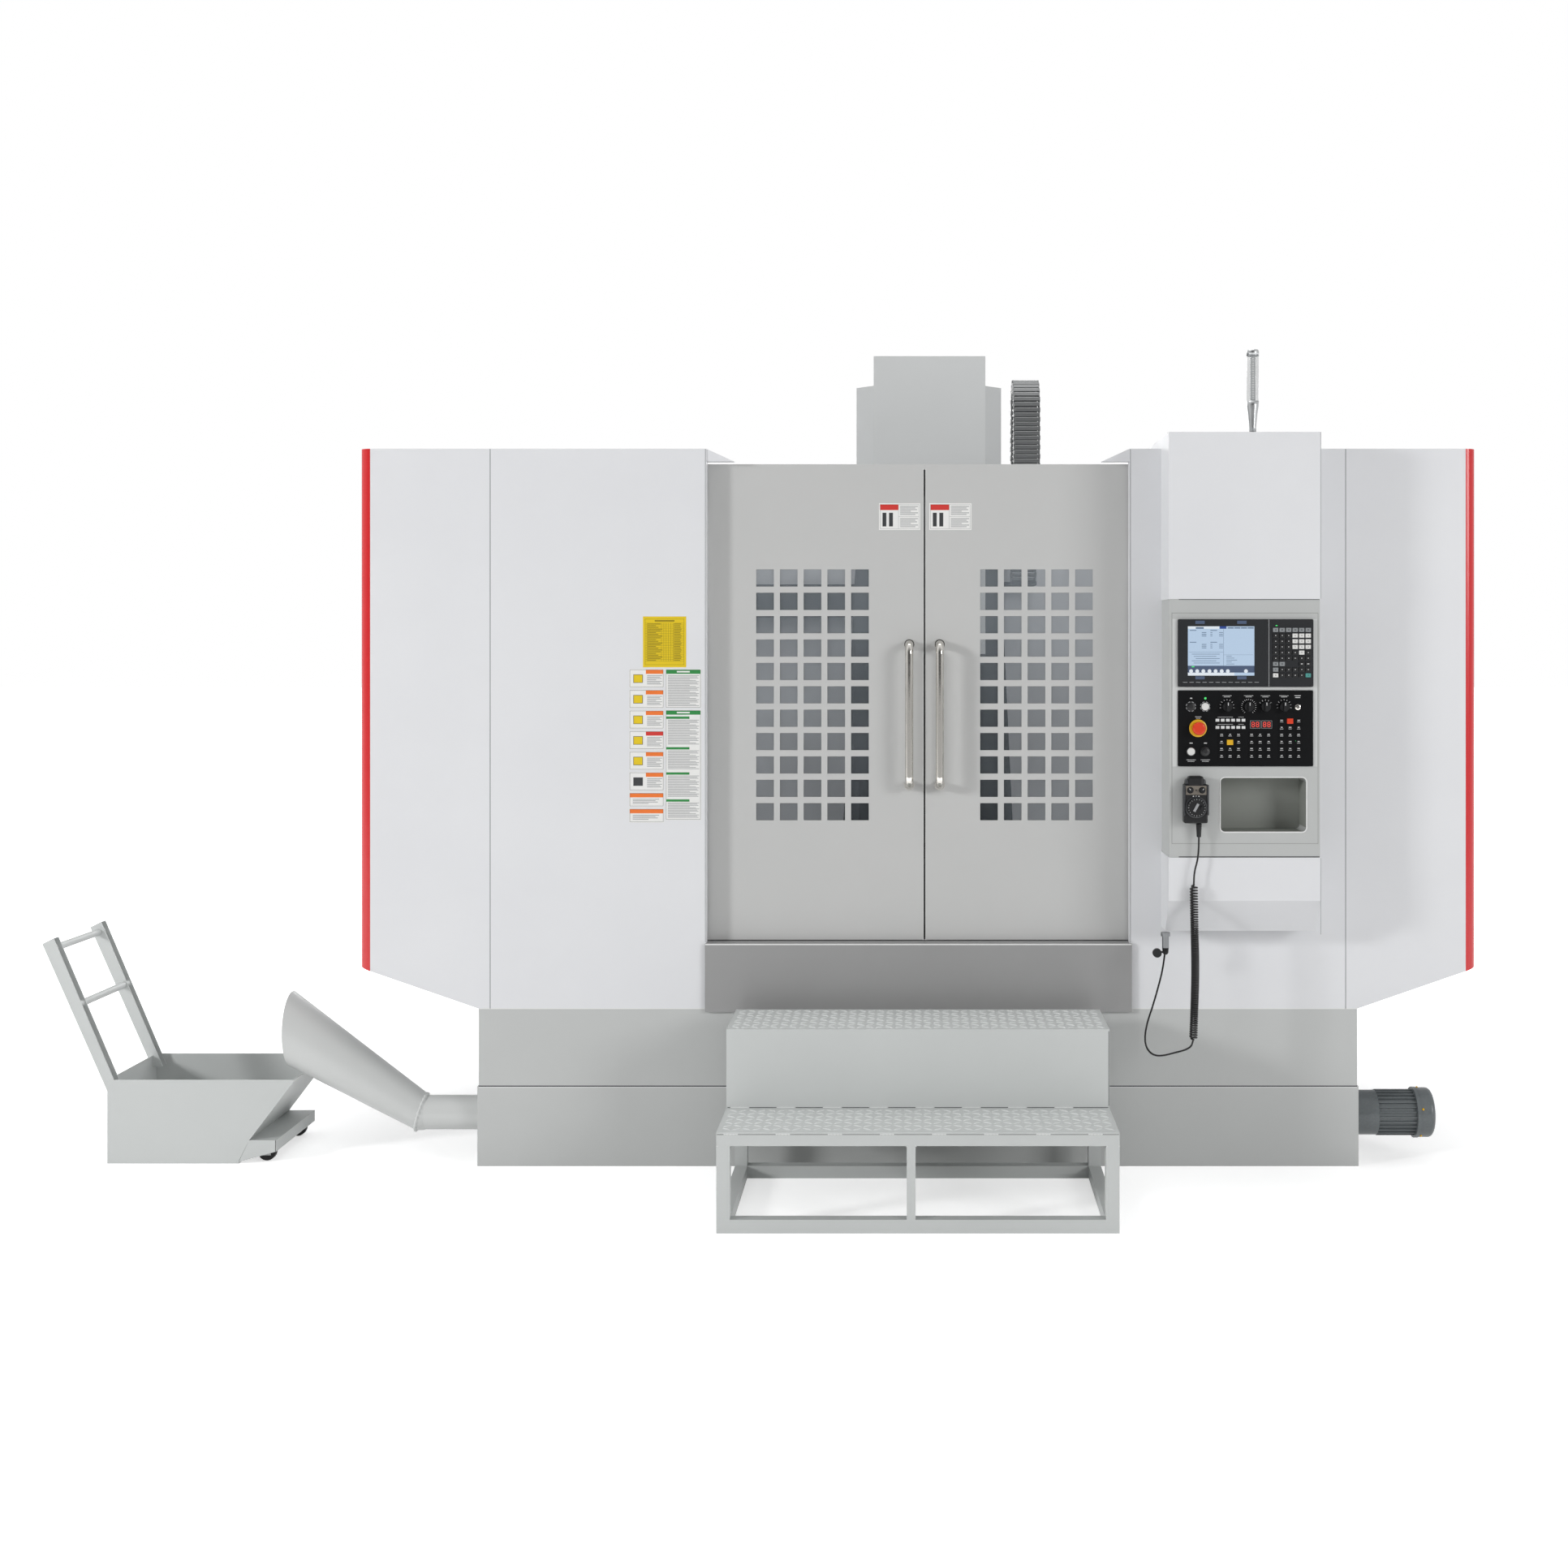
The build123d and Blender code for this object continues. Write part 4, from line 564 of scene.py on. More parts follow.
def chart_plate():
    """Yellow lubrication chart: a ruled table in olive ink, with no words."""
    bm = bmesh.new()
    slab(bm, chart_x, (card_face, front_face), chart_z, 0, 0.2)
    left, right = xs = inside(chart_x, 7)
    low, high = zs = inside(chart_z, 8)
    frame_lines(bm, xs, zs, card_face, 0.9, 1)
    printed(bm, inside(xs, 32), (high - 9, high - 4), card_face, 1)
    top = high - 14
    rows = 22
    pitch = (top - low - 12) / rows
    for row in range(rows + 1):
        printed(bm, xs, around(top - row * pitch, 0.4), card_face, 1, rule_proud)
    for row in range(rows):
        z = top - row * pitch
        line = (z - pitch * 0.7, z - pitch * 0.3)
        reach = (0.34, 0.22, 0.28, 0.38)[row % 4]
        printed(bm, (left + 8, left + 8 + reach * (right - left)), line, card_face, 1)
        printed(bm, (right - 34, min(right - 34 + 26 * (0.6 + reach), right - 2)), line, card_face, 1)
    for share in (0.05, 0.42, 0.48, 0.54, 0.6, 0.66, 0.72):
        printed(bm, around(left + share * (right - left), 0.4), (top - rows * pitch, top), card_face, 1, rule_proud)
    return make("chart_plate", bm, ["ink_yellow", "ink_olive"], "machine")


def door_card(name, xs, body):
    """A white card on a door: a red header, dark picture fields and ruled lines."""
    bm = bmesh.new()
    face = door_face - card_thick
    low, top = zs = (2122, 2212)
    slab(bm, xs, (face, door_face), zs, 0, 0.2)
    frame_lines(bm, inside(xs, 4), inside(zs, 4), face, 0.8, 1)
    split = xs[0] + 0.47 * (xs[1] - xs[0])
    middle = (low + top) / 2
    printed(bm, (xs[0] + 4, split), (top - 23, top - 4), face, 5)
    for x in (xs[0] + 12, xs[0] + 34):
        printed(bm, (x, x + 13), (low + 12, top - 32), face, 2)
    printed(bm, (split, split + 0.8), inside(zs, 4), face, 1)
    printed(bm, (split, xs[1] - 4), around(middle, 0.4), face, 1)
    for field in ((middle + 3, top - 8), (low + 6, middle - 4)):
        ruled_lines(bm, (split + 6, xs[1] - 8), field, face, 5.4, 1)
    return make(name, bm, card_inks, body)


# Operator station


def screen_fields():
    """The lit screen: tabs, pale work fields, dim rows of figures and a dark foot with round icons."""
    bm = bmesh.new()
    xs, zs = (871.0, 1086.0), (1638.0, 1797.0)
    face = unit_face + 3.4
    wide, tall = xs[1] - xs[0], zs[1] - zs[0]

    def field(x0, x1, z0, z1, finish=4, lift=0.3):
        printed(bm, (xs[0] + x0 * wide, xs[0] + x1 * wide), (zs[0] + z0 * tall, zs[0] + z1 * tall), face, finish, lift)

    field(0, 1, 0, 1, 0, 0.2)
    field(0, 0.47, 0.95, 1, 1)
    field(0.12, 0.24, 0.95, 0.985, 4, 0.35)
    field(0.48, 0.58, 0.95, 1, 3, 0.35)
    for tab in range(4):
        field(0.6 + tab * 0.1, 0.69 + tab * 0.1, 0.955, 0.98, 4, 0.35)
    field(0.535, 0.539, 0.2, 0.94)
    field(0.02, 0.535, 0.475, 0.48)
    field(0.54, 0.98, 0.42, 0.424)
    for top in (0.88, 0.64):
        for row in range(3):
            z = top - row * 0.035
            field(0.21, 0.28, z - 0.014, z)
            field(0.47, 0.53, z - 0.012, z)
            field(0.34, 0.37, z - 0.012, z)
        field(0.03, 0.13, top + 0.03, top + 0.045)
        field(0.34, 0.44, top + 0.03, top + 0.045)
    for row in range(5):
        field(0.06 + 0.03 * (row % 3), 0.48 - 0.05 * (row % 2), 0.43 - row * 0.045, 0.44 - row * 0.045)
        field(0.58, 0.66 + 0.04 * (row % 3), 0.39 - row * 0.04, 0.4 - row * 0.04)
    field(0, 1, 0.06, 0.2, 2)
    field(0, 0.7, 0, 0.06, 1)
    field(0.06, 0.1, 0.17, 0.19, 5, 0.4)
    for place in range(8):
        x = xs[0] + (0.05 + 0.092 * place + (0.18 if place == 7 else 0)) * wide
        turned(bm, (x, face - 0.5, zs[0] + 0.09 * tall), ((6.2, 0), (6.2, 0.3)), "Y", 1, 20)
    lights = ["screen_blue", "screen_white", "screen_slate", "screen_navy", "screen_ink", "led_green"]
    return make("screen_fields", bm, lights, "machine")


def display_trim():
    """Four blue-grey clips on the bezel, drawn in the screen's lit slate so that they glow with painted light, a row
    of soft keys below and corner screws.
    """
    bm = bmesh.new()
    # The clips glow with the screen's own light: painted light on parts that are no lamp.
    for x in (910, 1045):
        for z in (1810, 1631):
            slab(bm, around(x, 15), (unit_face - 1.2, unit_face), around(z, 5), 0, 0.5)
    for place in range(12):
        slab(bm, around(862 + place * 21, 7), (unit_face - 0.8, unit_face), (1615.6, 1617.4), 1, 0.2)
    for x in (846, 1126, 1140, 1270):
        for z in (1608, 1814):
            turned(bm, (x, unit_face - 1.2, z), ((2.6, 1.2), (2.6, 0.3), (1.8, 0)), "Y", 2, 12)
    slab(bm, (1131.5, 1133.5), (unit_face - 0.4, unit_face), (1603, 1819), 1)
    slab(bm, (1154, 1160), (unit_face - 1.0, unit_face), (1798, 1801), 3, 0.3)
    return make("display_trim", bm, ["screen_slate", "ink_grey", "key_black", "led_green"], "machine")


def keyboard_caps():
    """Colours of the keyboard: grey function keys, black letters, white figures, teal input key."""
    bm = bmesh.new()
    grey, black, white, teal, ink = range(5)
    for r in range(9):
        z = 1639.0 + 18.3 * (8 - r)
        for c in range(6):
            x = 1153.8 + 21.0 * c
            if r == 6 and c in (2, 3):
                continue
            finish = black
            if r == 0 or (r in (6, 7) and c == 0) or (r == 6 and c == 1):
                finish = grey
            elif (r in (1, 2, 3) and c > 2) or (r == 4 and c == 4) or (r == 8 and c == 0):
                finish = white
            elif r == 8 and c == 5:
                finish = teal
            slab(bm, around(x, 8.6), (unit_face - 3.4, unit_face), around(z, 6.6), finish, 1.0)
            mark = around(x, 3.2 if r in (0, 6) else 1.3)
            slab(bm, mark, (unit_face - 3.55, unit_face - 3.3), (z - 1.0, z + 1.4), ink if finish == black else black)
    return make("keyboard_caps", bm, ["key_grey", "key_black", "key_white", "key_teal", "ink_white"], "machine")


def control_marks():
    """Prints on the control plate: dial scales, key legends as dashes, and fields of colour."""
    bm = bmesh.new()
    face = control_face

    def dash(x, z, half, tall=1.2, proud=0.0):
        printed(bm, around(x, half), around(z, tall / 2), face - proud, 0, 0.25)

    for x, ticks, spread, size in ((998, 9, 200, 22), (1068, 19, 290, 23), (1122, 5, 110, 21), (1182, 9, 200, 22)):
        for tick in range(ticks):
            angle = math.radians(90 + spread / 2 - spread * tick / (ticks - 1))
            spot = (x + size * math.cos(angle), face - 0.12, knob_z + size * math.sin(angle))
            slab(bm, (-2.25, 2.25), (-0.12, 0.12), (-0.55, 0.55), 0, 0.0, set_at(spot, -angle))
        dash(x, 1573, 15)
        dash(x, 1569, 10)
    for x in (882, 928):
        dash(x, 1565, 3.5, 3.0)
        dash(x, 1366, 15)
        dash(x, 1361, 11)
        dash(x, 1420, 5, 2.6)
    dash(905, 1505, 10)
    dash(905, 1500, 7)
    dash(1226, 1573, 10, 2.0)
    dash(1226, 1567, 8, 2.0)
    for group, rows in enumerate((4, 4, 6)):
        for c in range(3):
            x = 980 + group * 97 + c * 27.5
            for r in range(rows):
                z = 1377 + r * 22.8
                dash(x, z + 3.0, 3.2 + (c + r) % 2, 2.2, pad_proud)
                dash(x, z - 2.4, 5.2, 1.3, pad_proud)
    for z in (1494, 1470.8):
        for place in range(6):
            slab(bm, around(967 + place * 16.8, 6), (face - 1.0, face), around(z, 4.6), 0, 0.45)
        dash(992, z + 10, 25, 0.9)
        dash(1043, z + 10, 9, 0.9)
    slab(bm, (997.5, 1017.5), (face - 2.2, face), (1414, 1431), 1, 0.8)
    slab(bm, (1191.5, 1211.5), (face - 2.2, face), (1482.5, 1499.5), 2, 0.8)
    slab(bm, (925, 931), (face - 1.0, face), (1561, 1568), 3, 0.4)
    slab(bm, (1219, 1222), (face - 1.0, face), (1426, 1429), 3, 0.3)
    return make("control_marks", bm, ["ink_white", "stop_yellow", "stop_red", "led_green"], "machine")


def figure_windows():
    """Two small windows with two red seven-bar figures each."""
    bm = bmesh.new()
    glass = control_face - 1.2
    bar_depth = (glass - 0.4, glass)
    zs = (1467, 1493)
    for left in (1072, 1109):
        xs = (left, left + 34)
        slab(bm, xs, (glass, control_face), zs, 0, 0.6)
        frame_lines(bm, xs, zs, glass, 0.8, 2)
        for x in (left + 10, left + 24):
            for z in (1472.5, 1480, 1487.5):
                slab(bm, around(x, 3.2), bar_depth, around(z, 0.9), 1)
            for side in (-4, 4):
                for z in (1476.2, 1483.8):
                    slab(bm, around(x + side, 0.9), bar_depth, around(z, 2.8), 1)
    return make("figure_windows", bm, ["key_black", "led_red", "ink_grey"], "machine")


def push_buttons():
    """Round push buttons with dark rims, the ring under the stop button, and the key switch."""
    bm = bmesh.new()
    face = control_face
    for x, z, finish in ((881, knob_z, 2), (927, knob_z, 1), (881, 1393, 1), (927, 1393, 2)):
        turned(bm, (x, face, z), ((15.5, -0.05), (15.5, -2.4), (14.4, -3.2), (11.6, -3.2)), "Y", 2, 40)
        turned(bm, (x, face, z), ((12.2, -3.0), (12.2, -8.6), (11.2, -9.6), (6.0, -10.2)), "Y", finish, 40)
        for tick in range(8 if z == knob_z else 0):
            put = set_at((x, face, z), math.radians(22.5 + 45 * tick))
            slab(bm, (13.6, 16.4), (-3.5, -2.0), (-3.6, 3.6), 4, 0.4, put)
    ring = ((15.5, -0.05), (28.4, -0.05), (28.4, -3.2), (25.5, -4.2), (15.5, -4.2), (15.5, -0.05))
    turned(bm, (stop_place[0], face, stop_place[1]), ring, "Y", 3, 48)
    turned(bm, (1226, face, 1536), ((9.5, -0.05), (9.5, -3.0), (8.5, -4.0), (4.0, -4.0)), "Y", 0, 32)
    slab(bm, (1224.6, 1227.4), (face - 4.4, face - 3.9), (1531.5, 1540.5), 2)
    skins = ["chrome_plate", "key_white", "key_black", "stop_yellow", "ink_grey"]
    return make("push_buttons", bm, skins, "machine")


def knob_pointers():
    """A white pointer line on each turning knob."""
    for name in ("mode_knob", "feed_knob", "rapid_knob", "spindle_knob"):
        low, high = extents(name)
        bm = bmesh.new()
        slab(bm, around((low.x + high.x) / 2, 1.1), (low.y - 0.3, low.y + 0.1), (knob_z + 4, high.z - 1.5), 0, 0.1)
        make(name + "_pointer", bm, ["ink_white"], name)


def hand_pendant():
    """Hand wheel pendant: body with side rails, rounded cap, plate with two selectors, scale and ribbed sleeve."""
    bm = bmesh.new()
    x, face, back = pendant_x, pendant_face, pendant_back
    selector_z = 1271
    selector = ((10.5, 0), (10.5, -2.6), (8.6, -3.4), (8.0, -11), (6.4, -12))
    slab(bm, around(x, 38), (face, back), (1164, 1290), 0, 5.0)
    for side in (-1, 1):
        slab(bm, sorted((x + side * 34.5, x + side * 41)), (face - 2.5, face + 24), (1190, 1288), 3, 2.0)
        turned(bm, (x + side * 19, face, selector_z), selector, "Y", 0, 28)
        put = set_at((x + side * 19, face - 12, selector_z), side * 0.6)
        slab(bm, (-0.8, 0.8), (-0.3, 0.2), (1.0, 7.0), 2, 0.1, put)
    slab(bm, around(x, 33), (face + 4, back - 2), (1284, 1306), 3, 7.0)
    slab(bm, around(x, 25), (face - 2, back - 6), (1282, 1315.6), 0, 8.0)
    slab(bm, around(x, 33), (face - 1.4, face + 0.6), (1256, 1285), 1, 0.6)
    turned(bm, (x, face - 1.4, selector_z), ((2.0, 0), (2.0, -0.7)), "Y", 0, 12)
    for place in (-9, 0, 9):
        slab(bm, around(x + place, 1.6), (face - 0.5, face + 0.2), (1248, 1253), 2, 0.1)
    turned(bm, (x, face, dial_z), ((35, 0.2), (35, -0.8), (34, -1.4), (31, -1.4)), "Y", 3, 48)
    turned(bm, (sleeve_x, cord_y, 1118), ((5.4, 0.2), (7.2, 2), (8.6, 40), (8.6, 47)), "Z", 0, 24)
    for place in range(11):
        size = 9.9 - place * 0.28
        rib = ((size - 1.6, 0), (size, -0.7), (size, -2.0), (size - 1.6, -2.7))
        turned(bm, (sleeve_x, cord_y, 1161 - place * 3.7), rib, "Z", 0, 24)
    pendant = make("hand_pendant", bm, ["black_abs", "pendant_plate", "ink_white", "pendant_rail"], "machine")
    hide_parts("pendant")
    return pendant


def dial_marks():
    """Scale ring and handle bar on the pendant's dial."""
    bm = bmesh.new()
    ticks = 20
    for tick in range(ticks):
        angle = 2 * math.pi * tick / ticks
        half = 1.9 if tick % 5 == 0 else 1.2
        spot = (pendant_x + 26.5 * math.cos(angle), dial_face - 0.15, dial_z + 26.5 * math.sin(angle))
        slab(bm, (-half, half), (-0.15, 0.15), (-0.45, 0.45), 0, 0.0, set_at(spot, -angle))
    bar = set_at((pendant_x - 2, dial_face - 1.2, dial_z), math.radians(28))
    slab(bm, (-4, 4), (-1.2, 1.2), (-14, 14), 1, 0.0, bar)
    return make("dial_marks", bm, ["ink_white", "ink_grey"], "pendant_dial")


def signal_stick():
    """Signal lamp: foot with a yellow band, waisted bright neck, clear tube over a strip of diodes, bright cap."""
    bm = bmesh.new()
    low, high = extents("signal_lamp")
    x, y, base = (low.x + high.x) / 2, (low.y + high.y) / 2, low.z
    for finish, profile in (
        (3, ((22, 0.2), (22, 9), (21.4, 9.6))),
        (1, ((22.6, 9.6), (22.6, 21), (21, 22.4), (12.4, 22.4))),
        (1, ((11.6, 22), (11.4, 44), (12.2, 52), (16, 92), (19.6, 116), (20.4, 132))),
        (0, ((20.2, 132), (20.2, 286))),
        (1, ((20.8, 284), (20.8, 299), (18.5, 304.5), (10, 306))),
    ):
        turned(bm, (x, y, base), profile, "Z", finish, 40)
    slab(bm, around(x, 7), around(y, 7), (base + 134, base + 283), 4)
    for row in range(18):
        zs = around(base + 139 + row * 8, 2.4)
        for side in (-1, 1):
            slab(bm, around(x, 3.2), sorted((y + side * 7, y + side * 9)), zs, 2, 0.4)
            slab(bm, sorted((x + side * 7, x + side * 9)), around(y, 3.2), zs, 2, 0.4)
    skins = ["lens_acrylic", "lamp_nickel", "card_white", "ink_yellow", "led_strip"]
    lamp = make("signal_stick", bm, skins, "machine")
    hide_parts("signal_lamp")
    return lamp


# Step, doors and outlet


def chequer_plate(name, xs, ys, top):
    """Raised tears of rolled plate: lens-shaped mounds that lean to and fro in rows, paler than the plate: worn by
    feet, and a painted highlight where light catches their crests.
    """
    bm = bmesh.new()
    cols = int((xs[1] - xs[0] - tear_long) / tear_pitch)
    rows = int((ys[1] - ys[0] - tear_long) / tear_row)
    first = (sum(xs) - cols * tear_pitch) / 2, (sum(ys) - rows * tear_row) / 2
    lens = ((-0.5, 0), (-0.25, 0.8), (0, 1), (0.25, 0.8), (0.5, 0), (0.25, -0.8), (0, -1), (-0.25, -0.8))
    lift = Vector((0, 0, tear_high))
    for row in range(rows + 1):
        for col in range(cols + 1):
            angle = math.radians(tear_lean if (row + col) % 2 else -tear_lean)
            along = Vector((math.cos(angle), math.sin(angle), 0)) * tear_long
            across = Vector((-math.sin(angle), math.cos(angle), 0)) * tear_wide / 2
            middle = Vector((first[0] + col * tear_pitch, first[1] + row * tear_row, top))
            foot = [bm.verts.new((middle + along * share + across * width) * MM) for share, width in lens]
            crest = [bm.verts.new((middle + along * share + lift) * MM) for share in (-0.22, 0.22)]
            for place in range(8):
                bm.faces.new((foot[place], foot[(place + 1) % 8], crest[1 if 2 <= place < 6 else 0]))
            bm.faces.new((foot[2], crest[1], crest[0]))
            bm.faces.new((foot[6], crest[0], crest[1]))
    return make(name, bm, ["tear_wear_and_highlight"], "machine")


def bead(bm, points, radius, ripple=0.18):
    """A weld bead along points: a rippled rope of metal."""
    sides = 8
    rings = []
    for place, spot in enumerate(points):
        after = points[min(place + 1, len(points) - 1)]
        before = points[max(place - 1, 0)]
        turn = (Vector(after) - Vector(before)).to_track_quat("Z", "Y").to_matrix()
        size = radius * (1 + ripple * math.sin(place * 2.1)) * (0.3 if place in (0, len(points) - 1) else 1)
        ring = []
        for step in range(sides):
            angle = 2 * math.pi * step / sides
            offset = turn @ Vector((math.cos(angle), math.sin(angle), 0))
            ring.append(bm.verts.new((Vector(spot) + offset * size) * MM))
        rings.append(ring)
    for low, high in zip(rings, rings[1:]):
        for step in range(sides):
            after = (step + 1) % sides
            bm.faces.new((low[step], low[after], high[after], high[step])).smooth = True
    bm.faces.new(rings[0][::-1])
    bm.faces.new(rings[-1])


def stitch_welds():
    """Short weld runs where the step's treads meet its bars, and at the corners of its frame."""
    bm = bmesh.new()
    low, high = extents("operator_step")
    for y, z, start, run, gap in ((low.y + 1.2, 293, low.x + 20, 46, 108), (riser_face, 299, low.x + 12, 60, 84)):
        x = start
        while x + run < high.x - 10:
            bead(bm, [(x + s * run / 14, y, z) for s in range(15)], 2.2)
            x += run + gap
    for x in (low.x + 2, low.x + 38, -33, -7, high.x - 38, high.x - 2):
        bead(bm, [(x - 2 + s * 0.8, low.y + 1.4, 257) for s in range(8)], 2.4)
    return make("stitch_welds", bm, ["weld_wear_and_highlight"], "machine")


def step_joints():
    """Open joints of the step, dark between its welds: round the riser and along the front of the lower tread."""
    bm = bmesh.new()
    low, high = extents("operator_step")
    slab(bm, (low.x + 4, high.x - 4), (-1312.0, -1310.5), (298.2, 299.8), 0)
    slab(bm, (low.x + 2, high.x - 2), (low.y - 0.25, low.y + 0.2), (291.4, 293.0), 0)
    slab(bm, (high.x - 3.2, high.x - 1.4), (-1311.3, -1310.8), (304, 536), 0)
    return make("step_joints", bm, ["seam_shadow"], "machine")


def chute_weld():
    """The ring of weld round the elbow of the chip outlet."""
    bm = bmesh.new()
    half_rise = math.atan2(272, 431) / 2
    elbow = Vector((-1680, trough_y, trough_z))
    across = Vector((0, 59, 0))
    slant = Vector((math.sin(half_rise), 0, math.cos(half_rise))) * (60.5 / math.cos(half_rise))
    steps = 72
    angles = [2 * math.pi * step / steps for step in range(steps + 1)]
    bead(bm, [elbow + across * math.cos(angle) + slant * math.sin(angle) for angle in angles], 4.2, 0.42)
    return make("chute_weld", bm, ["weld_wear_and_highlight"], "machine")


def cart_cheeks():
    """Folded cheeks of the cart's foot plate, which half hide its wheels, and the skirt across its end."""
    bm = bmesh.new()
    low, high = extents("chip_cart")
    right, heel, floor = low.x + cart_foot_x, low.x + cart_heel_x, low.x + cart_floor_x
    top, lip, thick, clear = 77.5, 40.0, 3.0, 0.4
    outline = ((heel, top), (right, top), (right, lip), (floor, 5.0))
    for y in (low.y - clear, high.y + clear - thick):
        near = [bm.verts.new(Vector((x, y, z)) * MM) for x, z in outline]
        far = [bm.verts.new(Vector((x, y + thick, z)) * MM) for x, z in outline]
        bm.faces.new(near)
        bm.faces.new(far[::-1])
        for place in range(4):
            after = (place + 1) % 4
            bm.faces.new((near[after], near[place], far[place], far[after]))
    slab(bm, (right + clear - thick, right + clear), (low.y - clear, high.y + clear), (lip, top), 0)
    return make("cart_cheeks", bm, ["step_powder_coat"], "cart")


def door_seals():
    """Black rubber lips where the two doors meet, beside pale strips on the doors' folded edges, which are painted
    highlights.
    """
    for name, xs, edge in (("left_door", (18.9, 21.6), (16.4, 18.9)), ("right_door", (22.4, 25.1), (25.1, 27.6))):
        bm = bmesh.new()
        slab(bm, xs, (door_face - 1.4, door_face + 1.0), (748, 2325), 0, 0.5)
        # Pale strip on the door's folded edge: a painted highlight.
        printed(bm, edge, (745, 2328), door_face, 1, 0.4)
        make(name + "_seal", bm, ["wheel_rubber", "edge_highlight_and_trim"], name)


def plug_cap():
    """The socket's dust cap, hanging on its strap beside the plug, and the plug's black boot."""
    bm = bmesh.new()
    turned(bm, (778, -1046, 735), ((13, -9), (14.5, -7), (14.5, 7), (13, 9)), "Y", 0, 32)
    slab(bm, (786, 800), (-1049, -1043), (735, 741), 0, 1.5)
    turned(bm, (806, -1040, 729), ((5.5, 0), (9.5, 5), (10.6, 22)), "Z", 0, 28)
    return make("plug_cap", bm, ["black_abs"], "machine")


def motor_trim():
    """Four yellow screw heads round the gear motor."""
    bm = bmesh.new()
    circle = 82
    for angle in (-55, 20, 95, 170):
        turn = math.radians(angle)
        spot = Vector((1690, trough_y - circle * math.cos(turn), trough_z + circle * math.sin(turn)))
        bmesh.ops.create_icosphere(bm, subdivisions=2, radius=4.2 * MM, matrix=Matrix.Translation(spot * MM))
    return make("motor_trim", bm, ["stop_yellow"], "machine")


def panel_frame():
    """On the panel's front: pale strips beside the two units, a pale strip between them that is a painted highlight, a
    scribed border and the bright rim of the locker.
    """
    bm = bmesh.new()
    units = (1344, 1821)
    # The strip between the units is a painted highlight; the strips beside them are a paler plate.
    for xs, zs in (((822, 839.5), units), ((1276.5, 1291), units), ((839.5, 1276.5), (1590.5, 1601.5))):
        slab(bm, xs, (station_face - 1.2, station_face), zs, 0, 0.4)
    frame_lines(bm, (820, 1294), (1094, 1841), station_face, 1.8, 1)
    rim(bm, (978.5, 1254.5), (1133.5, 1307.5), 13.5, 3.6, (station_face - 1.5, station_face), 2)
    return make("panel_frame", bm, ["pale_plate_and_highlight", "panel_line", "edge_highlight_and_trim"], "machine")


def locker_inside():
    """Darker grey sheets on the back, floor, sides and top of the open locker."""
    bm = bmesh.new()
    back, sheet_thick = -976.0, 0.8
    deep = (station_face + 3, back - sheet_thick)
    slab(bm, (979, 1254), (back - sheet_thick, back), (1134, 1307), 0, 0.2)
    for zs in ((1133, 1133 + sheet_thick), (1308 - sheet_thick, 1308)):
        slab(bm, (992, 1241), deep, zs, 0)
    for xs in ((978, 978 + sheet_thick), (1255 - sheet_thick, 1255)):
        slab(bm, xs, deep, (1147, 1294), 0)
    return make("locker_inside", bm, ["locker_inside_grey"], "machine")


def seam_lines():
    """Joints between sheets: grey joint lines on the front panels, the painted shadow in the joint of pan and tank,
    pale strips along folded edges that are painted highlights, and grey lines down the right edges of the station's
    hood and base that are painted shade.
    """
    bm = bmesh.new()
    grey_line, shadow, bright = range(3)

    def seam(xs, zs, finish, face=front_face):
        printed(bm, xs, zs, face, finish, seam_proud)

    for x in (-1425.15, 1425.15):
        seam(around(x, joint_half), (524, 2389), grey_line)
    for x in (-708.0, 708.0):
        seam(around(x, 1.2), (745, 2389), grey_line)
    seam((-tank_half, tank_half), (264.2, 268.4), shadow)
    # Pale strip under the joint of pan and tank: a painted highlight.
    seam((-tank_half, tank_half), (261.4, 264.2), bright)
    for x in (-tank_half, tank_half):
        slab(bm, sorted((x, x + math.copysign(seam_proud, x))), (front_face, 990), (266.3, 269.6), shadow)
    low, high = extents("sill_panel")
    # Pale strip along the sill's top edge: a painted highlight.
    slab(bm, (low.x + 1, high.x - 1), (low.y - 0.4, low.y + 0.2), (high.z - 4.4, high.z - 0.2), bright)
    # Pale strips along the bottom edges of the white panels: painted highlights.
    for xs in ((-1462, low.x), (high.x, 1462)):
        seam(xs, (523.0, 526.0), bright)
    # Grey line down the right edge of the station's hood and base: painted shade along the edge, not a joint.
    for name in ("station_hood", "station_base"):
        low, high = extents(name)
        slab(bm, (high.x - 1.8, high.x), (low.y - 0.3, low.y + 0.2), (low.z + 1, high.z - 1), grey_line)
    low, high = extents("panel_box")
    for zs in ((low.z, low.z + 3.6), (high.z - 2.4, high.z)):
        seam((low.x + 30, high.x - 1), zs, shadow, station_face)
    return make("seam_lines", bm, ["sealant_and_edge_shade", "seam_shadow", "edge_highlight_and_trim"], "machine")


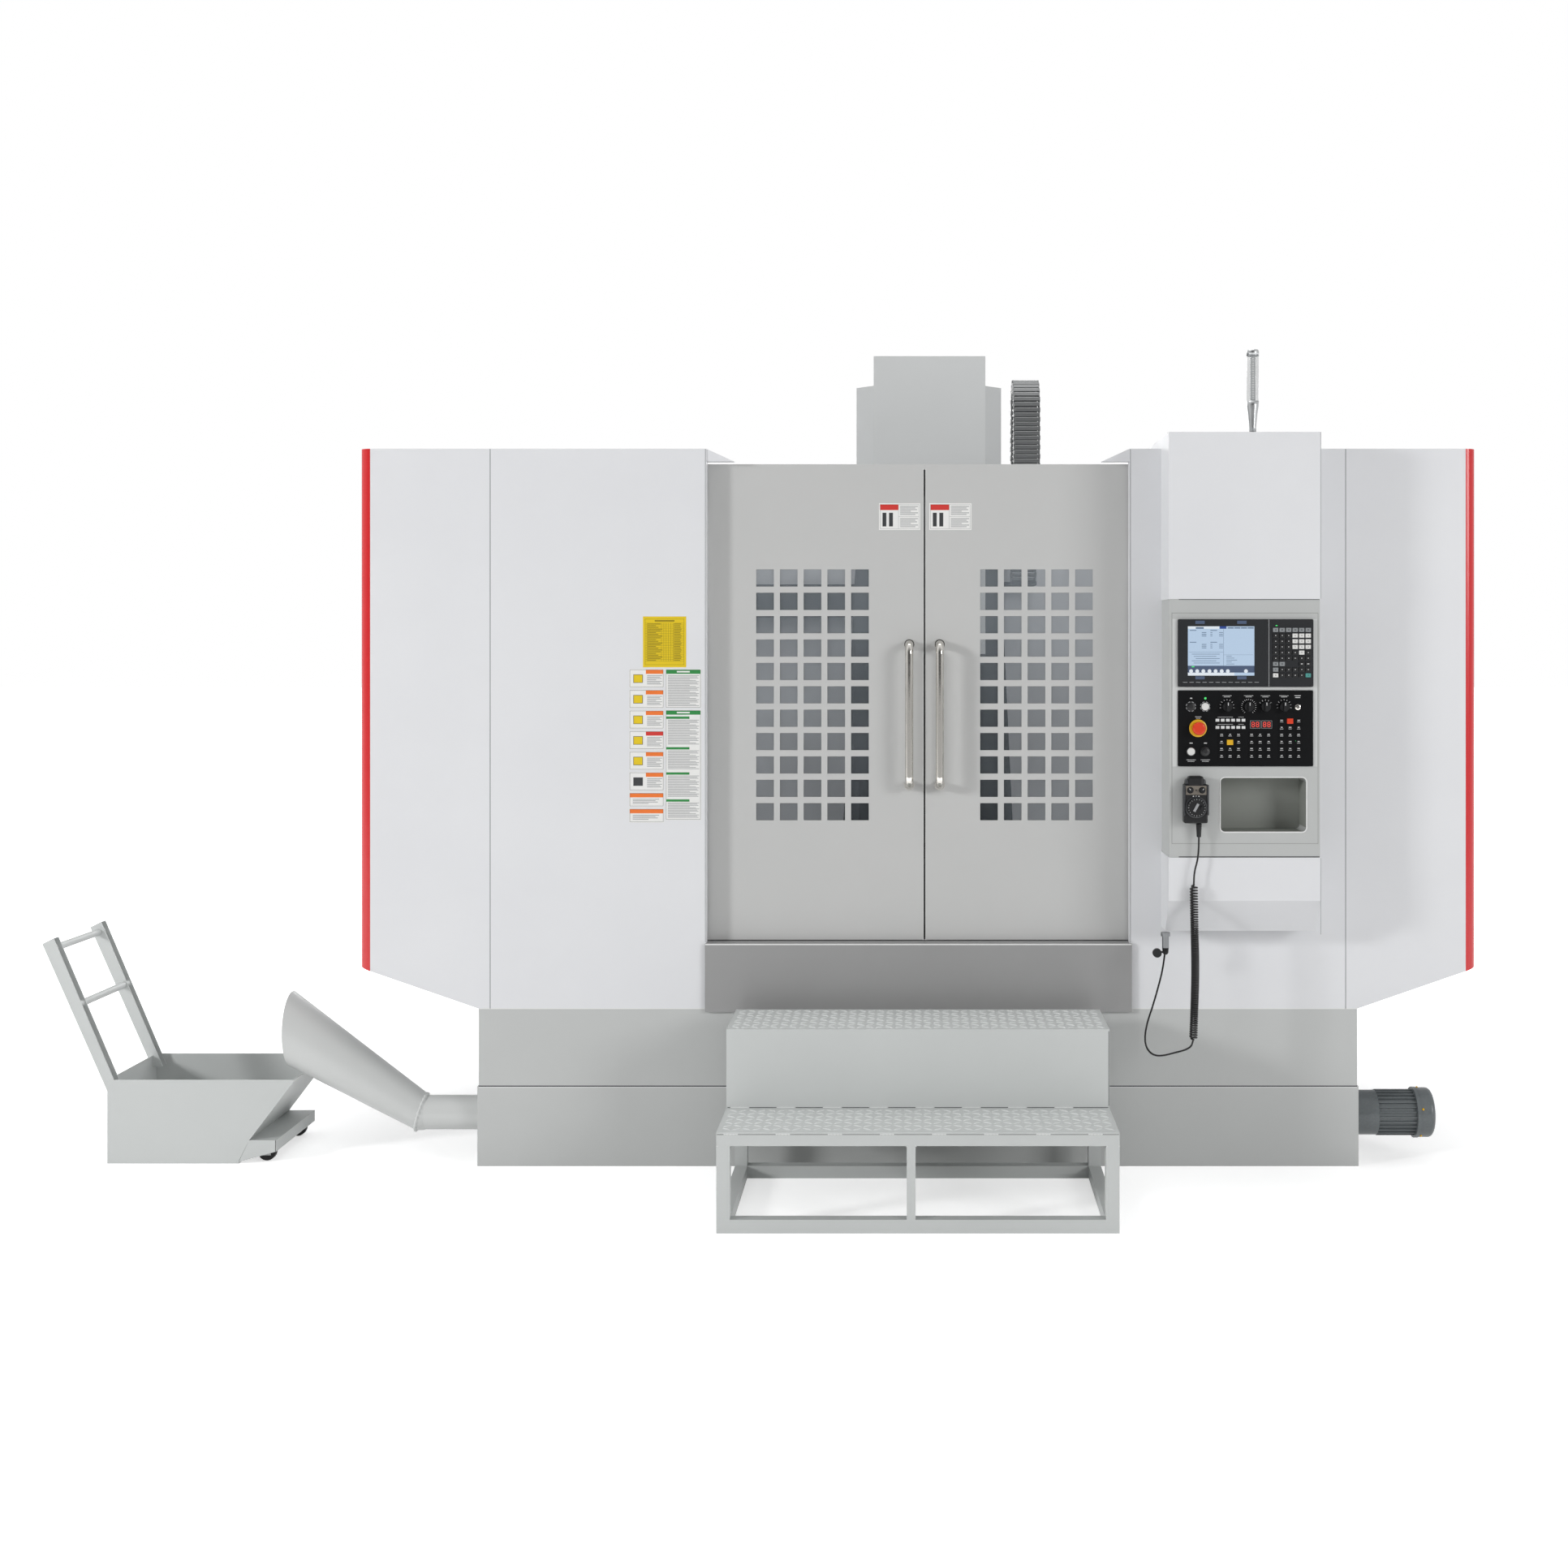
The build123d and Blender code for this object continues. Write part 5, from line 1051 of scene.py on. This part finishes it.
def chain_links():
    """Plastic cable chain: close cross bars between side plates, up, over and down again; a pale lip along each bar is
    a painted highlight, and small black squares on the plates are painted shade of recesses.
    """
    bm = bmesh.new()
    x, half, deep = 447.0, 55.0, 28.0
    foot, arch, tail, near, bend = 2230.0, 2690.0, 2000.0, 560.0, 118.0
    rise, over, fall = arch - foot, math.pi * bend, arch - tail
    count = round((rise + over + fall) / chain_pitch)
    step = (rise + over + fall) / count
    tall = step * 0.42
    for place in range(count):
        along = (place + 0.5) * step
        turn = min(max((along - rise) / bend, 0.0), math.pi)
        y = near + bend * (1 - math.cos(turn))
        z = arch + bend * math.sin(turn) + min(along - rise, 0.0) - max(along - rise - over, 0.0)
        put = set_at((x, y, z), -turn, "X")
        slab(bm, around(0, half - 5), (0.8 - deep, 6 - deep), (-tall, tall), 0, 1.2, put)
        # Pale lip on the bar's edge: a painted highlight.
        slab(bm, around(0, half - 5), (-deep, 1.4 - deep), (tall - 2.6, tall), 1, 0.4, put)
        slab(bm, around(0, half - 9), (deep - 5, deep), around(0, step * 0.3), 0, 0.8, put)
        outer = half - 1.6 * (place % 2)
        for side in (-1, 1):
            plate = sorted((side * outer, side * (half - 7)))
            slab(bm, plate, (-deep, deep), around(0, step * 0.48), 0, 0.8, put)
            # Small black square on the side plate: painted shade of a recess.
            recess_shade = sorted((side * (outer + 0.02), side * (outer - 0.6)))
            slab(bm, recess_shade, inside((-deep, deep), 8), around(0, step * 0.26), 2, 0.0, put)
    chain = make("chain_links", bm, ["chain_nylon", "chain_lip_highlight", "key_black"])
    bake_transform(chain)
    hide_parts("cable_chain")
    return chain


# Sides and back


def screw_row(bm, spots, axis, way, finish):
    """Pan head screws at places; way is +1 or -1 along the axis."""
    head = ((7.5, -0.3 * way), (7.5, 0.6 * way), (5.5, 1.4 * way))
    for spot in spots:
        turned(bm, spot, head, axis, finish, 16)


def sheet_seams():
    """Joints between the sheets of the sides and the back, and the screws along them."""
    bm = bmesh.new()
    levels = [760 + place * 310 for place in range(6)]
    beside = (-24, 24)
    low, high = extents("side_panels")
    for x, way in ((low.x, -1), (high.x, 1)):
        for y in (-210.0, 420.0):
            slab(bm, sorted((x, x + way * seam_proud)), around(y, joint_half), (690, high.z - 1), 0)
            screw_row(bm, [(x, y + gap, z) for gap in beside for z in levels], "X", way, 1)
        screw_row(bm, [(x, high.y - 26, z) for z in levels], "X", way, 1)
    low, high = extents("rear_panel")
    for x in (900.0, 1390.0):
        slab(bm, around(x, joint_half), (high.y, high.y + seam_proud), (540, high.z - 1), 0)
        screw_row(bm, [(x + gap, high.y, z) for gap in beside for z in levels], "Y", 1, 1)
    for x in (-1835.0, 1835.0):
        screw_row(bm, [(x, high.y, z) for z in levels], "Y", 1, 1)
    return make("sheet_seams", bm, ["sealant_and_edge_shade", "lamp_nickel"], "machine")


def cabinet_latch():
    """Swing handle of the cabinet's door, in its dish, with a lock above it."""
    bm = bmesh.new()
    face = 1408.3
    slab(bm, (-524, -492), (face - 0.5, face + 3), (1390, 1560), 0, 1.4)
    slab(bm, (-516, -500), (face + 3, face + 9), (1400, 1510), 0, 2.5)
    turned(bm, (-508, face + 3, 1532), ((9, -0.5), (9, 2.5), (7.5, 3.5)), "Y", 1, 24)
    return make("cabinet_latch", bm, ["black_abs", "lamp_nickel"], "cabinet_door")


def cabinet_fittings():
    """Inside the cabinet: a galvanised plate with drives, breakers, contactors, terminals and wire ducts."""
    bm = bmesh.new()
    back = 1012.0
    plate, duct, grey, white, black, teal = range(6)

    def fitting(x, wide, depth, zs, finish, soft, start=0.0):
        slab(bm, (x, x + wide), (back + start, back + depth), zs, finish, soft)

    fitting(-1440, 930, 0, (770, 2180), plate, 1.0, -4)
    for z in (820, 1180, 1480, 2110):
        fitting(-1420, 890, 62, (z, z + 50), duct, 1.5)
        for x in range(-1410, -540, 18):
            fitting(x, 5, 62.4, (z - 0.4, z + 50.4), grey, 0.0, 10)
    x = -1400.0
    for wide in (150, 90, 90, 90, 60, 60):
        fitting(x, wide, 230, (1580, 1960), white, 4.0)
        fitting(x + 6, wide - 12, 232, (1840, 1948), black, 1.0, 229)
        fitting(x + 10, wide - 20, 234, (1600, 1650), teal, 1.5, 229)
        x += wide + 14
    fitting(-760, 200, 190, (1600, 1940), grey, 4.0)
    for x in range(-1396, -1018, 27):
        fitting(x, 25, 74, (1290, 1375), white, 2.0)
        fitting(x + 8, 9, 88, (1322, 1344), black, 1.0, 73)
    for x in range(-980, -546, 62):
        fitting(x, 52, 96, (1280, 1385), black, 3.0)
        fitting(x + 8, 36, 104, (1306, 1358), grey, 2.0, 95)
    for place in range(46):
        fitting(-1400 + place * 14, 12.4, 52, (1030, 1090), teal if place % 9 == 8 else grey, 1.0)
    fitting(-720, 160, 150, (920, 1090), black, 4.0)
    skins = ["galvanised_plate", "key_grey", "ink_grey", "key_white", "black_abs", "key_teal"]
    return make("cabinet_fittings", bm, skins, "machine")


# Pendant cord

lead_route = [(sleeve_x, cord_y, 1118), (sleeve_x, cord_y, 1085), (900, cord_y - 2, 1045),
              (889, cord_y - 3, 1008), (887, cord_y - 3, 966)]
coil_route = [(887, cord_y - 3, 966), (889, cord_y - 3, 840), (893, cord_y - 2, 700),
              (890, cord_y, 570), (886, cord_y, 466)]
tail_route = [(886, cord_y, 466), (880, cord_y + 1, 444), (858, cord_y + 3, 432), (828, cord_y + 6, 424),
              (796, cord_y + 10, 414), (763, cord_y + 16, 411), (740, cord_y + 22, 430), (733, cord_y + 30, 462),
              (741, cord_y + 38, 510), (762, cord_y + 48, 566), (783, cord_y + 56, 634), (799, cord_y + 66, 692),
              (806, -1040, 751)]


def spline_curve(name, points):
    """A smooth curve with the points as its control points, in metres."""
    curve = bpy.data.curves.new(name, "CURVE")
    curve.dimensions = "3D"
    spline = curve.splines.new("NURBS")
    spline.points.add(len(points) - 1)
    for target, spot in zip(spline.points, points):
        target.co = [c * MM for c in spot] + [1]
    spline.order_u = 3
    spline.use_endpoint_u = True
    spline.resolution_u = 6
    made = bpy.data.objects.new(name, curve)
    bpy.context.scene.collection.objects.link(made)
    return made


def coil_points():
    """The helix of the curly stretch, wound round points read from its route's own spline.
    Its control points lie a little outside, because the curve runs inside them."""
    guide = spline_curve("coil_guide", coil_route)
    bpy.context.view_layer.update()
    line = bpy.data.meshes.new_from_object(guide)
    spots = [v.co / MM for v in line.vertices]
    bpy.data.objects.remove(guide)
    steps = coil_turns * points_per_turn
    outside = coil_turn_radius / math.cos(math.pi / points_per_turn)
    helix = []
    for step in range(steps + 1):
        share = step / steps
        reach = share * (len(spots) - 1)
        place = min(int(reach), len(spots) - 2)
        middle = spots[place].lerp(spots[place + 1], reach - place)
        angle = 2 * math.pi * step / points_per_turn
        radius = outside * min(1.0, 1.2 * step / points_per_turn, 1.2 * (steps - step) / points_per_turn)
        helix.append((middle.x + radius * math.cos(angle), middle.y + radius * math.sin(angle), middle.z))
    return helix


def pendant_cord():
    """The curly cord from the pendant's sleeve down, round and up to the plug."""
    cord = spline_curve("pendant_cord", lead_route[:-1] + coil_points() + tail_route[1:])
    cord.data.bevel_depth = cord_diameter / 2 * MM
    cord.data.bevel_resolution = 3
    cord.data.materials.append(finishes["cord_jacket"])
    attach(cord, "machine")
    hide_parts("cord_lead", "cord_coil", "cord_tail")


# Stage


def stage_floor():
    """A white floor that keeps the shadows; bright metal sees its far front end dim, as the studio is there."""
    constants = {"Base_Color": linear("#f4f4f4"), "Specular_IOR_Level": 0.0, "Emission_Color": linear("#ffffff")}
    made, tree, shader, place = surface("studio_floor", 0.9, **constants)
    path = add(tree, "LightPath")
    along = add(tree, "SeparateXYZ", {"Vector": place})
    front = add(tree, "MapRange", {"Value": along.outputs["Y"]},
                {"From Min": -9.0, "From Max": -5.0, "To Min": 0.15, "To Max": 1.0})
    mirrored = add(tree, "Math", {0: path.outputs["Is Glossy Ray"], 1: front.outputs[0]}, operation="MULTIPLY")
    seen = add(tree, "Math", {0: path.outputs["Is Camera Ray"], 1: mirrored.outputs[0]}, operation="MAXIMUM")
    reach = add(tree, "VectorMath", {0: place}, operation="LENGTH")
    glow = add(tree, "MapRange", {"Value": reach.outputs["Value"]},
               {"From Min": 1.8, "From Max": 4.5, "To Min": 0.5, "To Max": 1.0})
    lit = {0: seen.outputs[0], 1: glow.outputs[0]}
    add(tree, "Math", lit, None, shader["Emission Strength"], operation="MULTIPLY")
    bm = bmesh.new()
    bmesh.ops.create_grid(bm, x_segments=1, y_segments=1, size=60)
    mesh = bpy.data.meshes.new("floor")
    bm.to_mesh(mesh)
    bm.free()
    mesh.materials.append(made)
    floor = bpy.data.objects.new("floor", mesh)
    floor.location.z = -0.0005
    bpy.context.scene.collection.objects.link(floor)


def white_world():
    """White to the camera and through glass, softer light on the object; reflections meet white all
    round and the dim end of the studio in front of the machine."""
    world = bpy.data.worlds.new("studio")
    bpy.context.scene.world = world
    world.use_nodes = True
    tree = world.node_tree
    back = tree.nodes["Background"]
    back.inputs["Color"].default_value = linear("#ffffff")
    path = add(tree, "LightPath")
    toward = add(tree, "SeparateXYZ", {"Vector": add(tree, "TexCoord").outputs["Generated"]})
    dim = add(tree, "MapRange", {"Value": toward.outputs["Y"]},
              {"From Min": -0.95, "From Max": -0.4, "To Min": 0.1, "To Max": 0.9})
    gloss = add(tree, "MapRange", {"Value": path.outputs["Is Glossy Ray"], "To Max": dim.outputs[0]},
                {"To Min": 0.42})
    seen = add(tree, "Math", {0: path.outputs["Is Camera Ray"], 1: path.outputs["Is Transmission Ray"]},
               operation="MAXIMUM")
    add(tree, "MapRange", {"Value": seen.outputs[0], "To Min": gloss.outputs[0]}, {"To Max": 1.0},
        back.inputs["Strength"])


def soft_box(name, place, aim, size, watts, mirrored=True):
    """A square lamp aimed at a point, in metres; one that isn't mirrored makes no glare on bright metal."""
    lamp = bpy.data.lights.new(name, "AREA")
    lamp.size = size
    lamp.energy = watts
    made = bpy.data.objects.new(name, lamp)
    made.location = place
    made.visible_camera = False
    made.visible_glossy = mirrored
    made.rotation_euler = (Vector(aim) - Vector(place)).to_track_quat("-Z", "Y").to_euler()
    bpy.context.scene.collection.objects.link(made)


def photo_camera():
    """The photograph's viewpoint: level, in front of the machine, with the frame shifted."""
    data = bpy.data.cameras.new("photo_camera")
    data.sensor_width = sensor_mm
    data.lens = focal_px * sensor_mm / photo_size
    data.shift_x = -(axis_px[0] - photo_size / 2) / photo_size
    data.shift_y = (axis_px[1] - photo_size / 2) / photo_size
    camera = bpy.data.objects.new("photo_camera", data)
    camera.location = Vector(camera_place) * MM
    camera.rotation_euler = (math.pi / 2, 0, 0)
    bpy.context.scene.collection.objects.link(camera)
    bpy.context.scene.camera = camera


photo_camera()
stage_floor()
white_world()
soft_box("left_lamp", (-9.6, -6.6, 3.8), (0.0, -0.8, 1.2), 1.5, 515, False)
soft_box("right_lamp", (7.2, -7.4, 3.6), (0.0, -0.8, 1.2), 3.0, 270)
soft_box("top_lamp", (0.0, 0.5, 7.0), (0.0, 0.0, 1.0), 4.0, 140)
soft_box("back_lamp", (0.0, 8.0, 4.5), (0.0, 0.8, 1.2), 3.0, 190)
soft_box("left_work_lamp", (-0.75, -0.45, 2.28), (-0.6, -0.45, 0.0), 0.5, 3.6, False)
soft_box("right_work_lamp", (0.8, -0.45, 2.28), (0.65, -0.45, 0.0), 0.5, 3.6, False)

dress_nodes()
pendant_cord()
left_cards()
right_cards()
chart_plate()
door_card("left_door_card", (-131.0, 8.0), "left_door")
door_card("right_door_card", (38.0, 180.0), "right_door")
screen_fields()
display_trim()
keyboard_caps()
control_marks()
figure_windows()
push_buttons()
knob_pointers()
hand_pendant()
dial_marks()
signal_stick()
chequer_plate("lower_tread_tears", (-594.0, 594.0), (-1600.0, -1314.0), 298.0)
chequer_plate("upper_tread_tears", (-594.0, 594.0), (-1309.0, -1002.0), 542.0)
stitch_welds()
step_joints()
chute_weld()
cart_cheeks()
door_seals()
plug_cap()
motor_trim()
panel_frame()
locker_inside()
seam_lines()
chain_links()
sheet_seams()
cabinet_latch()
cabinet_fittings()

bpy.context.scene.view_settings.view_transform = "Standard"
